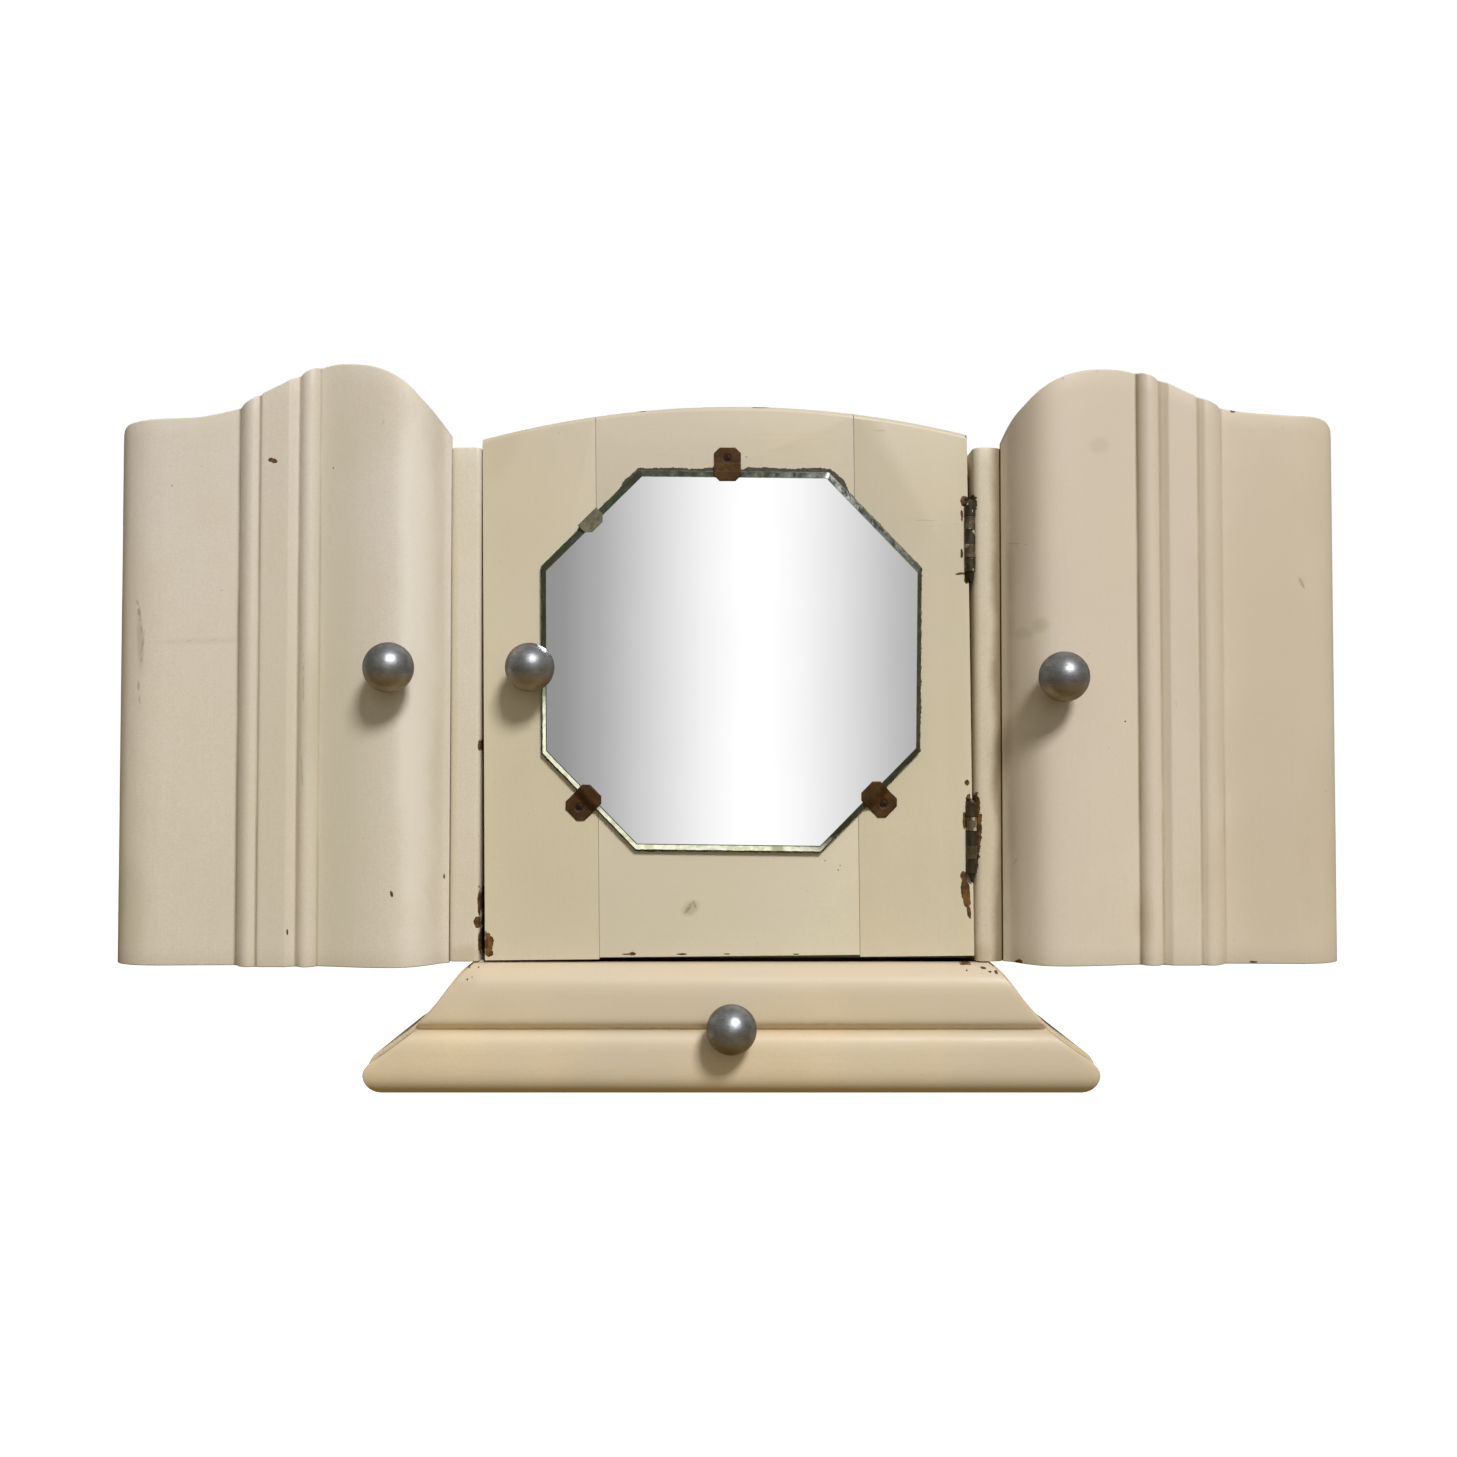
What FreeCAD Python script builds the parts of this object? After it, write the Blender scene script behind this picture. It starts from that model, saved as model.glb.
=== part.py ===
import FreeCAD, Part
import math
import os

# Wall-hung wooden toilet cabinet: a centre box with an arched mirror door, two
# side boxes with moulded overlay doors, and a drawer in an ogee-sided base.
# Frame: X to the right, Y back into the wall (wall plane Y = 0, the front faces -Y),
# Z up. Origin: midway between the two wall-screw holes, on the wall plane.
# All lengths in millimetres.

# ---------------------------------------------------------------- driving dimensions
CASE_TOP = 32.0            # top of every case board
CASE_BOT = -266.6          # underside of the partitions
SIDE_BOT = -266.0          # underside of the side boxes
FRONT = -130.0             # front edge of the two partitions
SIDE_FRONT = -126.0        # front edge of the side boxes
INNER_FRONT = -110.5       # front edge of the boards behind the inset door
BACK_T = 5.0               # back panel thickness
PART_IN = 143.6            # inner face of each partition
PART_OUT = {-1.0: 160.1, 1.0: 159.3}   # outer face of the left and the right partition
PART_ROUND = 4.4           # rounding of the partitions' front edges
WALL_OUT = 347.2           # outer face of each outer side
WALL_T = 12.0
BOARD_T = 12.0
SHELF_T = 10.0
SHELF_Z = -112.0           # top of every shelf

SCREW_X = 100.0            # wall-screw holes at +-SCREW_X
SCREW_R = 2.75             # wall-screw hole radius

DOOR_FRONT = -129.0        # front face of the inset mirror door
DOOR_BACK = -111.0
DOOR_L = -141.1            # its left and right edges at mid height
DOOR_R = 141.6
DOOR_BOT = -263.3
DOOR_PIVOT_Z = -118.0
SAG = 0.55                 # the door has dropped at its free end, degrees
ARCH_R = 565.0             # radius of the arched top
ARCH_X = 4.3
ARCH_TOP = 56.6
STILE_L = -75.0            # inner edges of the two stiles
STILE_R = 75.6
RAIL_TOP_Z = -9.0          # inner edges of the two rails
RAIL_BOT_Z = -174.0
RAIL_SHORT = 1.0           # the bottom rail stops this much above the stiles
DOOR_RIM = 3.0             # round-over on the arched top edge

MIRROR_T = 4.5
MIRROR_BEVEL = 3.0
MIRROR_RIM_T = 3.2         # glass thickness at the bevelled rim
MIRROR_PTS = [(-51.2, 18.3), (59.5, 17.1), (113.1, -38.7), (111.8, -145.2),
              (54.2, -203.6), (-52.6, -202.3), (-106.9, -146.6), (-107.7, -37.8)]
CLIPS = [(0.4, 19.0, 90.0), (-80.9, -173.0, 224.5), (86.1, -171.2, -44.6)]
CLIP_PAINTED = (-80.0, -10.2, 134.8)
CLIP_SUNK = 2.8            # the painted clip's foot is let into the wood this deep, filled and painted over
CLIP_W = 15.0
CLIP_OUT = 12.6            # length of the clip outside the glass
CLIP_IN = 7.0              # length of the clip over the glass
CLIP_T = 0.9

HINGE_X = 141.6            # pin line of the mirror door
HINGE_Y = -130.0
HINGE_Z = [-20.6, -195.3]
HINGE_LEN = 40.5
HINGE_R = 3.0
PIN_R = 1.0
BORE_R = 1.05

SIDE_BACK = -126.3         # back plane of the side doors
SIDE_L_IN = -160.5         # inner and outer edges of the side doors
SIDE_L_OUT = -352.9
SIDE_R_IN = 159.7
SIDE_R_OUT = 353.6
SIDE_L_BOT = -267.4
SIDE_R_BOT = -266.5
SIDE_HINGE_X = 350.2
SIDE_HINGE_Y = -126.15
SIDE_HINGE_Z = [-35.0, -198.0]
SIDE_HINGE_LEN = 40.0
SIDE_HINGE_R = 2.5
# section of the side doors: distance from the inner edge, height above the back plane
SIDE_W = 192.4
BULGE = [(0, 3.2), (3, 5.2), (6.4, 10.5), (9.8, 15.5), (13.2, 19.5), (17, 22.8),
         (22, 25.2), (28, 26.2), (36, 26.0), (45, 24.6), (54, 22.7), (63, 20.4), (71.6, 18.2)]
INNER_BEAD = [(72.3, 18.2), (78.5, 23.4), (84.3, 19.6)]
BAND = [(85.2, 19.4), (89.4, 22.4), (104.6, 22.2), (105.3, 20.4), (106.0, 20.6)]
OUTER_BEAD = [(106.0, 20.6), (108.6, 22.2), (112.2, 22.2), (116.0, 20.2), (118.8, 17.2), (120.6, 14.2)]
FLAT = [(121.5, 13.6), (163.4, 15.2)]
ROUNDING = [(163.4, 15.2), (170.0, 14.9), (176.0, 13.8), (182.0, 11.4), (187.0, 8.0), (190.4, 4.2), (192.4, 0.0)]
# swan-neck tops of the two side doors, from the outer to the inner end (X, Z)
# the two mouldings differ a little: how far each part of the section lies from its nominal place
SECTION_SHIFT = {-1.0: ([0, 70, 72, 84.3, 89.4, 104.6, 106, 119, 121.5, 163, 192.4],
                        [0, 0, -0.3, -1.2, -0.6, 0.2, 0.6, -1.3, -1.6, -0.8, 0]),
                 1.0: ([0, 20, 70, 86, 104.6, 106, 121.5, 163.4, 192.4],
                       [0, 0, 2.9, 2.9, 3.3, 4.0, 3.6, 2.4, 1.5])}
TOP_L = [(-352.9, 34.0), (-352.4, 39.0), (-349.5, 43.2), (-343.0, 44.9), (-333.5, 45.7), (-315.9, 46.6),
         (-302.3, 47.6), (-288.7, 50.4), (-276.0, 54.0), (-262.0, 60.6), (-249.0, 67.0), (-235.5, 73.3),
         (-225.0, 75.9), (-213.8, 75.7), (-203.0, 74.2), (-192.5, 70.7), (-182.0, 64.4), (-173.4, 55.7),
         (-166.4, 47.0), (-160.5, 38.8)]
TOP_R = [(353.6, 33.0), (353.2, 39.0), (350.0, 44.3), (343.5, 46.9), (330.0, 47.7), (316.2, 48.5),
         (302.6, 49.7), (289.0, 51.6), (277.0, 54.4), (265.5, 58.6), (252.2, 64.8), (241.0, 69.6),
         (229.0, 72.4), (217.7, 72.8), (203.3, 71.3), (189.4, 67.0), (179.5, 61.6), (170.7, 53.7),
         (164.4, 44.4), (159.7, 34.6)]

KNOB_R = 14.0              # ball knobs
KNOB_NECK_R = 4.2
KNOB_CENTRE = 18.0         # ball centre in front of the wood
KNOBS = {"left": (-187.1, -99.5), "mirror": (-112.0, -97.7), "right": (186.6, -104.6), "drawer": (2.7, -300.3)}

DRAWER_X = 2.65            # centre line of the drawer and its base
DRAWER_BACKPLANE = -126.5
DRAWER_TOP = -267.0
DRAWER_BOT = -341.0
BASE_BOT = -338.6
OGEE = [(148.5, -267.0), (153.2, -271.0), (156.4, -274.4), (159.2, -277.6), (164.1, -284.1), (169.0, -290.9),
        (174.9, -297.7), (181.3, -304.6), (188.7, -310.5), (198.1, -317.4), (205.2, -322.6), (207.9, -327.3),
        (207.8, -330.8), (206.2, -335.0), (202.6, -339.0), (196.0, -341.0)]
# front face of the drawer front: height, depth in front of its back plane
DRAWER_FACE = [(-267.0, 5.5), (-268.6, 9.6), (-271.0, 13.0), (-274.4, 15.9), (-279.0, 17.5), (-286.0, 18.2),
               (-295.0, 18.4), (-299.6, 17.6), (-302.2, 14.6)]
DRAWER_QUIRK = [(-303.4, 12.6), (-304.2, 13.2)]
DRAWER_LOBE = [(-304.2, 16.2), (-306.4, 19.6), (-311.0, 21.6), (-318.0, 22.3), (-326.0, 22.3), (-332.2, 20.9),
               (-336.6, 17.6), (-339.6, 12.4), (-341.0, 6.0)]
BASE_OUT = [(148.0, -266.6), (154.0, -270.4), (158.0, -274.4), (161.0, -278.0), (165.8, -284.1), (170.9, -290.9),
            (176.9, -297.5), (183.5, -304.0), (191.0, -309.6), (200.6, -316.4), (207.6, -321.8), (210.0, -327.0),
            (209.8, -331.2), (207.6, -335.2), (203.0, -338.6)]
BASE_IN = [(190.0, -338.6), (190.0, -329.0), (192.0, -326.0), (186.0, -319.6), (178.0, -314.0), (171.0, -307.0),
           (164.5, -299.0), (158.6, -290.9), (153.0, -284.0), (148.0, -277.0), (143.6, -272.0), (143.6, -266.6)]
BASE_BOARD_T = 9.0
BOX_HALF = 124.0           # drawer box half width
BOX_TOP = -279.0
BOX_BOT = -329.0
BOX_BACK = -22.0
BOX_T = 8.0

V = FreeCAD.Vector
parts = {}


# ---------------------------------------------------------------- helpers
def box(x0, x1, y0, y1, z0, z1):
    return Part.makeBox(x1 - x0, y1 - y0, z1 - z0, V(x0, y0, z0))


def cyl(p, d, r, h):
    return Part.makeCylinder(r, h, V(*p), V(*d))


def prism_xz(pts, y0, y1):
    """A straight-sided outline in X and Z, carried along Y."""
    w = Part.makePolygon([V(x, y0, z) for x, z in pts] + [V(pts[0][0], y0, pts[0][1])])
    return Part.Face(w).extrude(V(0, y1 - y0, 0))


def prism_xy(pts, z0, z1):
    w = Part.makePolygon([V(x, y, z0) for x, y in pts] + [V(pts[0][0], pts[0][1], z0)])
    return Part.Face(w).extrude(V(0, 0, z1 - z0))


def spline(vs):
    c = Part.BSplineCurve()
    c.interpolate(vs)
    return c.toShape()


def line(a, b):
    return Part.LineSegment(a, b).toShape()


def fuse(shapes):
    s = shapes[0]
    for o in shapes[1:]:
        s = s.fuse(o)
    return s.removeSplitter()


def group(solids):
    return Part.makeCompound(solids)


def export(name, shape):
    parts[name] = shape


def sagged(shape):
    s = shape.copy()
    s.rotate(V(DOOR_R, 0, DOOR_PIVOT_Z), V(0, -1, 0), SAG)
    return s


# ---------------------------------------------------------------- ball knob and its screw, pointing to -Y
def knob(x, z, y):
    """Ball on a short flared neck. y is the wood's surface."""
    prof = [V(0, 0, 0), V(KNOB_NECK_R + 0.35, 0, 0), V(KNOB_NECK_R + 0.35, -1.0, 0), V(KNOB_NECK_R, -2.2, 0)]
    dy = math.sqrt(KNOB_R ** 2 - KNOB_NECK_R ** 2)
    a = V(KNOB_NECK_R, -(KNOB_CENTRE - dy), 0)
    e = [line(prof[0], prof[1]), line(prof[1], prof[2]), line(prof[2], prof[3]), line(prof[3], a),
         Part.Arc(a, V(KNOB_R, -KNOB_CENTRE, 0), V(0, -KNOB_CENTRE - KNOB_R, 0)).toShape(),
         line(V(0, -KNOB_CENTRE - KNOB_R, 0), prof[0])]
    s = Part.Face(Part.Wire(e)).revolve(V(0, 0, 0), V(0, 1, 0), 360)
    s = Part.makeSolid(s) if s.ShapeType != "Solid" else s
    s = s.cut(cyl((0, 0.1, 0), (0, -1, 0), 2.05, 12.1))
    s.translate(V(x, y, z))
    return s


def knob_screw(x, z, y_back, y_front):
    """Machine screw from behind: round head on y_back, shank into the knob."""
    head = Part.makeSphere(4.6, V(0, -1.9, 0)).common(box(-6, 6, 0, 4, -6, 6))
    head = head.cut(box(-0.5, 0.5, 1.7, 4, -6, 6))
    shank = cyl((0, 0.5, 0), (0, -1, 0), 2.0, (y_back - y_front) + 11.0 + 0.5)
    s = fuse([head, shank])
    s.translate(V(x, y_back, z))
    return s


# ---------------------------------------------------------------- butt hinges
def hinge(ax, ay, zc, length, r, frame_leaf, door_leaf, frame_dir, door_dir, screws, tips):
    """Five knuckles on a loose pin. Leaves are boxes (x0, x1, y0, y1); screws give (position, direction) lists."""
    z0 = zc - length / 2.0
    k = length / 5.0
    gap = 0.15
    barrel = cyl((ax, ay, z0), (0, 0, 1), r, length)
    out = {}
    for who, leaf, mine in (("frame", frame_leaf, (0, 2, 4)), ("door", door_leaf, (1, 3))):
        x0, x1, y0, y1 = leaf
        s = box(x0, x1, y0, y1, z0, z0 + length)
        knuckles = [cyl((ax, ay, z0 + i * k + (gap if i > 0 else 0)), (0, 0, 1), r,
                        k - (gap if i > 0 else 0) - (gap if i < 4 else 0)) for i in mine]
        other = [cyl((ax, ay, z0 + i * k - gap), (0, 0, 1), r + 0.25, k + 2 * gap) for i in range(5) if i not in mine]
        s = s.cut(group(other))
        s = fuse([s] + knuckles)
        s = s.cut(cyl((ax, ay, z0 - 1), (0, 0, 1), BORE_R, length + 2))
        out[who] = s
    pin = cyl((ax, ay, z0 - 0.2), (0, 0, 1), PIN_R, length + 0.4)
    if tips:
        low = Part.makeCone(0.5, 2.3, 5.2, V(ax, ay, z0 - 5.4), V(0, 0, 1))
        top = Part.makeCone(2.3, 1.2, 1.5, V(ax, ay, z0 + length + 0.2), V(0, 0, 1))
        pin = fuse([pin, low, top])
    else:
        low = cyl((ax, ay, z0 - 1.0), (0, 0, 1), 1.8, 0.8)
        top = cyl((ax, ay, z0 + length + 0.2), (0, 0, 1), 1.8, 0.8)
        pin = fuse([pin, low, top])
    out["pin"] = pin
    for who in ("frame", "door"):
        made = []
        for (px, py, pz), (dx, dy, dz) in screws[who]:
            head = Part.makeCone(2.3, 1.2, 0.95, V(px, py, pz), V(dx, dy, dz))
            slot_len = 6.0
            shank = Part.makeCone(1.2, 0.5, 7.5, V(px + dx * 0.95, py + dy * 0.95, pz + dz * 0.95), V(dx, dy, dz))
            made.append(head.fuse(shank).removeSplitter())
        out[who + "_screws"] = made
        for m in made:
            out[who] = out[who].cut(m)
    return out


mirror_hinges = []
for zc in HINGE_Z:
    edge = DOOR_R - (zc - DOOR_PIVOT_Z) * math.tan(math.radians(SAG))
    dl1 = min(edge - 0.02, 142.3)
    dl0 = dl1 - 1.0
    sc = {"frame": [((PART_IN - 0.8, -119.0, zc + o), (1, 0, 0)) for o in (-15.5, 0, 15.5)],
          "door": [((dl1, -118.0, zc + o), (-1, 0, 0)) for o in (-15.5, 0, 15.5)]}
    mirror_hinges.append(hinge(HINGE_X, HINGE_Y, zc, HINGE_LEN, HINGE_R,
                               (PART_IN - 0.8, PART_IN + 0.2, HINGE_Y, -114.0), (dl0, dl1, HINGE_Y, -113.4),
                               1, -1, sc, True))

side_hinges = {"left": [], "right": []}
for side, sg in (("left", -1.0), ("right", 1.0)):
    for zc in SIDE_HINGE_Z:
        ax = sg * SIDE_HINGE_X
        xs = sorted((ax, sg * (SIDE_HINGE_X - 13.6)))
        sc = {"frame": [((sg * 341.0, SIDE_FRONT, zc + o), (0, 1, 0)) for o in (-15, 0, 15)],
              "door": [((sg * 341.0, SIDE_BACK, zc + o), (0, -1, 0)) for o in (-15, 0, 15)]}
        side_hinges[side].append(hinge(ax, SIDE_HINGE_Y, zc, SIDE_HINGE_LEN, SIDE_HINGE_R,
                                       (xs[0], xs[1], SIDE_FRONT, SIDE_FRONT + 1.0),
                                       (xs[0], xs[1], SIDE_BACK - 1.0, SIDE_BACK), 1, -1, sc, False))


def mortise(wood, hs, who, r_clear, ax, ay, ends):
    """Let one leaf, its screws and the barrel's clearance into a board."""
    for h in hs:
        z0 = h["z0"]
        leaf = h[who]
        bb = h[who + "_box"]
        wood = wood.cut(box(*bb))
        wood = wood.cut(cyl((ax, ay, z0 - ends[0]), (0, 0, 1), r_clear, h["len"] + ends[0] + ends[1]))
        for m in h[who + "_screws"]:
            wood = wood.cut(m)
    return wood


for hs, L, lst in ((mirror_hinges, HINGE_LEN, HINGE_Z), (side_hinges["left"], SIDE_HINGE_LEN, SIDE_HINGE_Z),
                   (side_hinges["right"], SIDE_HINGE_LEN, SIDE_HINGE_Z)):
    for h, zc in zip(hs, lst):
        h["z0"] = zc - L / 2.0
        h["len"] = L
for h, zc in zip(mirror_hinges, HINGE_Z):
    edge = DOOR_R - (zc - DOOR_PIVOT_Z) * math.tan(math.radians(SAG))
    dl1 = min(edge - 0.02, 142.3)
    h["frame_box"] = (PART_IN - 0.8, PART_IN + 0.2, HINGE_Y, -114.0, h["z0"], h["z0"] + h["len"])
    h["door_box"] = (dl1 - 1.0, dl1 + 1.5, HINGE_Y, -113.4, h["z0"], h["z0"] + h["len"])
for side, sg in (("left", -1.0), ("right", 1.0)):
    for h in side_hinges[side]:
        xs = sorted((sg * SIDE_HINGE_X, sg * (SIDE_HINGE_X - 13.6)))
        h["frame_box"] = (xs[0], xs[1], SIDE_FRONT - 1.0, SIDE_FRONT + 1.0, h["z0"], h["z0"] + h["len"])
        h["door_box"] = (xs[0], xs[1], SIDE_BACK - 1.0, SIDE_BACK + 1.0, h["z0"], h["z0"] + h["len"])

# ---------------------------------------------------------------- case
back = box(-WALL_OUT, WALL_OUT, -BACK_T, 0, SIDE_BOT, CASE_TOP)
rail = box(-PART_IN, PART_IN, -17.0, -BACK_T, -14.0, CASE_TOP - BOARD_T)
for sx in (-SCREW_X, SCREW_X):
    hole = cyl((sx, -30, 0), (0, 1, 0), SCREW_R, 40)
    back = back.cut(hole)
    rail = rail.cut(hole)
export("back_panel", back)
export("hanging_rail", rail)


def partition(sg):
    xs = sorted((sg * PART_IN, sg * PART_OUT[sg]))
    s = box(xs[0], xs[1], FRONT, -BACK_T, CASE_BOT, CASE_TOP)
    edges = []
    for e in s.Edges:
        ps = [v.Point for v in e.Vertexes]
        if all(abs(p.y - FRONT) < 1e-6 for p in ps) and abs(ps[0].z - ps[1].z) > 1:
            edges.append(e)
    return s.makeFillet(PART_ROUND, edges)


p_left = partition(-1.0)
p_right = mortise(partition(1.0), mirror_hinges, "frame", HINGE_R + 0.3, HINGE_X, HINGE_Y, (6.2, 2.4))
export("partition_left", p_left)
export("partition_right", p_right)

for side, sg in (("left", -1.0), ("right", 1.0)):
    xs = sorted((sg * WALL_OUT, sg * (WALL_OUT - WALL_T)))
    s = box(xs[0], xs[1], SIDE_FRONT, -BACK_T, SIDE_BOT, CASE_TOP)
    s = mortise(s, side_hinges[side], "frame", SIDE_HINGE_R + 0.3, sg * SIDE_HINGE_X, SIDE_HINGE_Y, (1.4, 1.4))
    export("outer_side_" + side, s)
    xs = sorted((sg * PART_OUT[sg], sg * (WALL_OUT - WALL_T)))
    export(side + "_top", box(xs[0], xs[1], SIDE_FRONT, -BACK_T, CASE_TOP - BOARD_T, CASE_TOP))
    export(side + "_bottom", box(xs[0], xs[1], SIDE_FRONT, -BACK_T, SIDE_BOT, SIDE_BOT + BOARD_T))
    export(side + "_shelf", box(xs[0], xs[1], SIDE_FRONT + 16.0, -BACK_T, SHELF_Z - SHELF_T, SHELF_Z))

export("center_top", box(-PART_IN, PART_IN, INNER_FRONT, -BACK_T, CASE_TOP - BOARD_T, CASE_TOP))
export("center_bottom", box(-PART_IN, PART_IN, INNER_FRONT, -BACK_T, CASE_BOT, CASE_BOT + BOARD_T))
export("center_shelf", box(-PART_IN, PART_IN, INNER_FRONT + 14.5, -BACK_T, SHELF_Z - SHELF_T, SHELF_Z))

cleats = []
for a, b in ((-PART_IN, -PART_IN + 9), (PART_IN - 9, PART_IN), (-WALL_OUT + WALL_T, -WALL_OUT + WALL_T + 9),
             (-PART_OUT[-1.0] - 9, -PART_OUT[-1.0]), (PART_OUT[1.0], PART_OUT[1.0] + 9), (WALL_OUT - WALL_T - 9, WALL_OUT - WALL_T)):
    cleats.append(box(a, b, -92.0, -BACK_T - 2.0, SHELF_Z - SHELF_T - 12.0, SHELF_Z - SHELF_T))
export("shelf_cleats", group(cleats))

# ---------------------------------------------------------------- base with the drawer runners
def mirror_pts(pts, sg):
    return [(DRAWER_X + sg * x, z) for x, z in pts]


def ogee_face(sg, out_pts, in_pts, y):
    o = [V(DRAWER_X + sg * x, y, z) for x, z in out_pts]
    e = [spline(o)]
    q = [o[-1]] + [V(DRAWER_X + sg * x, y, z) for x, z in in_pts] + [o[0]]
    for a, b in zip(q[:-1], q[1:]):
        e.append(line(a, b))
    return Part.Face(Part.Wire(e))


for side, sg in (("left", -1.0), ("right", 1.0)):
    f = ogee_face(sg, BASE_OUT, BASE_IN, -125.4)
    export("base_cheek_" + side, f.extrude(V(0, 125.4 - 8.0, 0)))
export("base_board", box(DRAWER_X - 190.0, DRAWER_X + 190.0, -125.4, -8.0, BASE_BOT, BASE_BOT + BASE_BOARD_T))
lo = [V(DRAWER_X - x, -8.0, z) for x, z in BASE_OUT]
ro = [V(DRAWER_X + x, -8.0, z) for x, z in BASE_OUT]
w = Part.Wire([spline(ro), line(ro[-1], lo[-1]), spline(lo[::-1]), line(lo[0], ro[0])])
export("base_back", Part.Face(w).extrude(V(0, 8.0, 0)))
gz = BASE_BOT + BASE_BOARD_T
export("drawer_guides", group([box(DRAWER_X + s * (BOX_HALF + 6.6) - 6.0, DRAWER_X + s * (BOX_HALF + 6.6) + 6.0,
                                   -118.0, -14.0, gz, gz + 16.0) for s in (-1, 1)]))

# ---------------------------------------------------------------- mirror door
arch = cyl((ARCH_X, -200, ARCH_TOP - ARCH_R), (0, 1, 0), ARCH_R, 150)
# the arch's front edge is rounded over
ring_r = ARCH_R
cone = Part.makeCone(ARCH_R - 2.2, ARCH_R, 2.2, V(ARCH_X, DOOR_FRONT, ARCH_TOP - ARCH_R), V(0, 1, 0))
arch_body = cone.fuse(cyl((ARCH_X, DOOR_FRONT + 2.2, ARCH_TOP - ARCH_R), (0, 1, 0), ARCH_R, 20.0)).removeSplitter()


def door_piece(shape, arched=False):
    s = sagged(shape)
    if arched:
        s = s.common(arch_body)
    return s


stile_l = prism_xy([(DOOR_L, DOOR_FRONT), (STILE_L, DOOR_FRONT), (STILE_L, DOOR_BACK), (DOOR_L + 1.3, DOOR_BACK)],
                   DOOR_BOT, 75.0)
stile_r = box(STILE_R, DOOR_R, DOOR_FRONT, DOOR_BACK, DOOR_BOT, 75.0)
t_rail = box(STILE_L, STILE_R, DOOR_FRONT, DOOR_BACK, RAIL_TOP_Z, 75.0)
b_rail = box(STILE_L, STILE_R, DOOR_FRONT, DOOR_BACK, DOOR_BOT + RAIL_SHORT, RAIL_BOT_Z)
panel = box(STILE_L, STILE_R, DOOR_FRONT, DOOR_FRONT + 12.0, RAIL_BOT_Z, RAIL_TOP_Z)
stile_l = door_piece(stile_l, True)
stile_r = door_piece(stile_r, True)
t_rail = door_piece(t_rail, True)
b_rail = door_piece(b_rail)
panel = door_piece(panel)
stile_r = mortise(stile_r, mirror_hinges, "door", HINGE_R + 0.3, HINGE_X, HINGE_Y, (6.2, 2.4))

kx, kz = KNOBS["mirror"]
stile_l = stile_l.cut(cyl((kx, -140, kz), (0, 1, 0), 2.25, 40))
export("mirror_door_knob", knob(kx, kz, DOOR_FRONT))
export("mirror_door_knob_screw", knob_screw(kx, kz, DOOR_BACK, DOOR_FRONT))

# the glass: octagon with a ground bevel all round
def octagon(pts, y):
    return Part.Wire(Part.makePolygon([V(x, y, z) for x, z in pts] + [V(pts[0][0], y, pts[0][1])]))


def inset(pts, d):
    """Offset a convex outline inwards by d."""
    cx = sum(p[0] for p in pts) / len(pts)
    cz = sum(p[1] for p in pts) / len(pts)
    out = []
    n = len(pts)
    lines = []
    for i in range(n):
        (x0, z0), (x1, z1) = pts[i], pts[(i + 1) % n]
        tx, tz = x1 - x0, z1 - z0
        ln = math.hypot(tx, tz)
        nx, nz = -tz / ln, tx / ln
        if (cx - x0) * nx + (cz - z0) * nz < 0:
            nx, nz = -nx, -nz
        lines.append((x0 + nx * d, z0 + nz * d, tx / ln, tz / ln))
    for i in range(n):
        x0, z0, ax, az = lines[i - 1]
        x1, z1, bx, bz = lines[i]
        det = ax * (-bz) + az * bx
        t = ((x1 - x0) * (-bz) + (z1 - z0) * bx) / det
        out.append((x0 + ax * t, z0 + az * t))
    return out


yb = DOOR_FRONT
w0 = octagon(MIRROR_PTS, yb)
w1 = octagon(MIRROR_PTS, yb - MIRROR_RIM_T)
w2 = octagon(inset(MIRROR_PTS, MIRROR_BEVEL), yb - MIRROR_T)
slab = Part.Face(w0).extrude(V(0, -MIRROR_RIM_T, 0))
bevel = Part.makeLoft([w1, w2], True, True)
glass = slab.fuse(bevel).removeSplitter()
export("mirror_glass", glass)


def clip(x, z, ang, sunk=0.0):
    """Bent sheet-metal clip: a foot screwed to the wood beside the glass, a riser and a tab over the glass."""
    c = 3.2
    hw = CLIP_W / 2.0
    off = 0.5
    foot = [(-hw, off), (hw, off), (hw, CLIP_OUT - c), (hw - c, CLIP_OUT), (-hw + c, CLIP_OUT), (-hw, CLIP_OUT - c)]
    tab = [(-hw, off + CLIP_T), (hw, off + CLIP_T), (hw, -CLIP_IN + c), (hw - c, -CLIP_IN), (-hw + c, -CLIP_IN), (-hw, -CLIP_IN + c)]
    yf = DOOR_FRONT + sunk
    a = prism_xz(foot, yf - CLIP_T, yf)
    b = prism_xz(tab, DOOR_FRONT - MIRROR_T - CLIP_T, DOOR_FRONT - MIRROR_T)
    r = box(-hw, hw, DOOR_FRONT - MIRROR_T - CLIP_T, yf, off, off + CLIP_T)
    pocket = prism_xz(foot, DOOR_FRONT - 1.0, yf)
    s = fuse([a, b, r])
    head = Part.makeSphere(4.2, V(0, yf - CLIP_T + 2.6, 6.6)).common(
        box(-5, 5, yf - CLIP_T - 4, yf - CLIP_T, 0, 14))
    head = head.cut(box(-0.45, 0.45, yf - CLIP_T - 4, yf - CLIP_T - 0.9, 0, 14))
    shank = Part.makeCone(1.3, 0.6, 10.0, V(0, yf - CLIP_T, 6.6), V(0, 1, 0))
    screw = head.fuse(shank).removeSplitter()
    s = s.cut(cyl((0, yf - 3, 6.6), (0, 1, 0), 1.45, 6))
    for q in (s, screw, pocket):
        q.rotate(V(0, 0, 0), V(0, -1, 0), ang - 90.0)
        q.translate(V(x, 0, z))
    return s, screw, pocket


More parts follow.
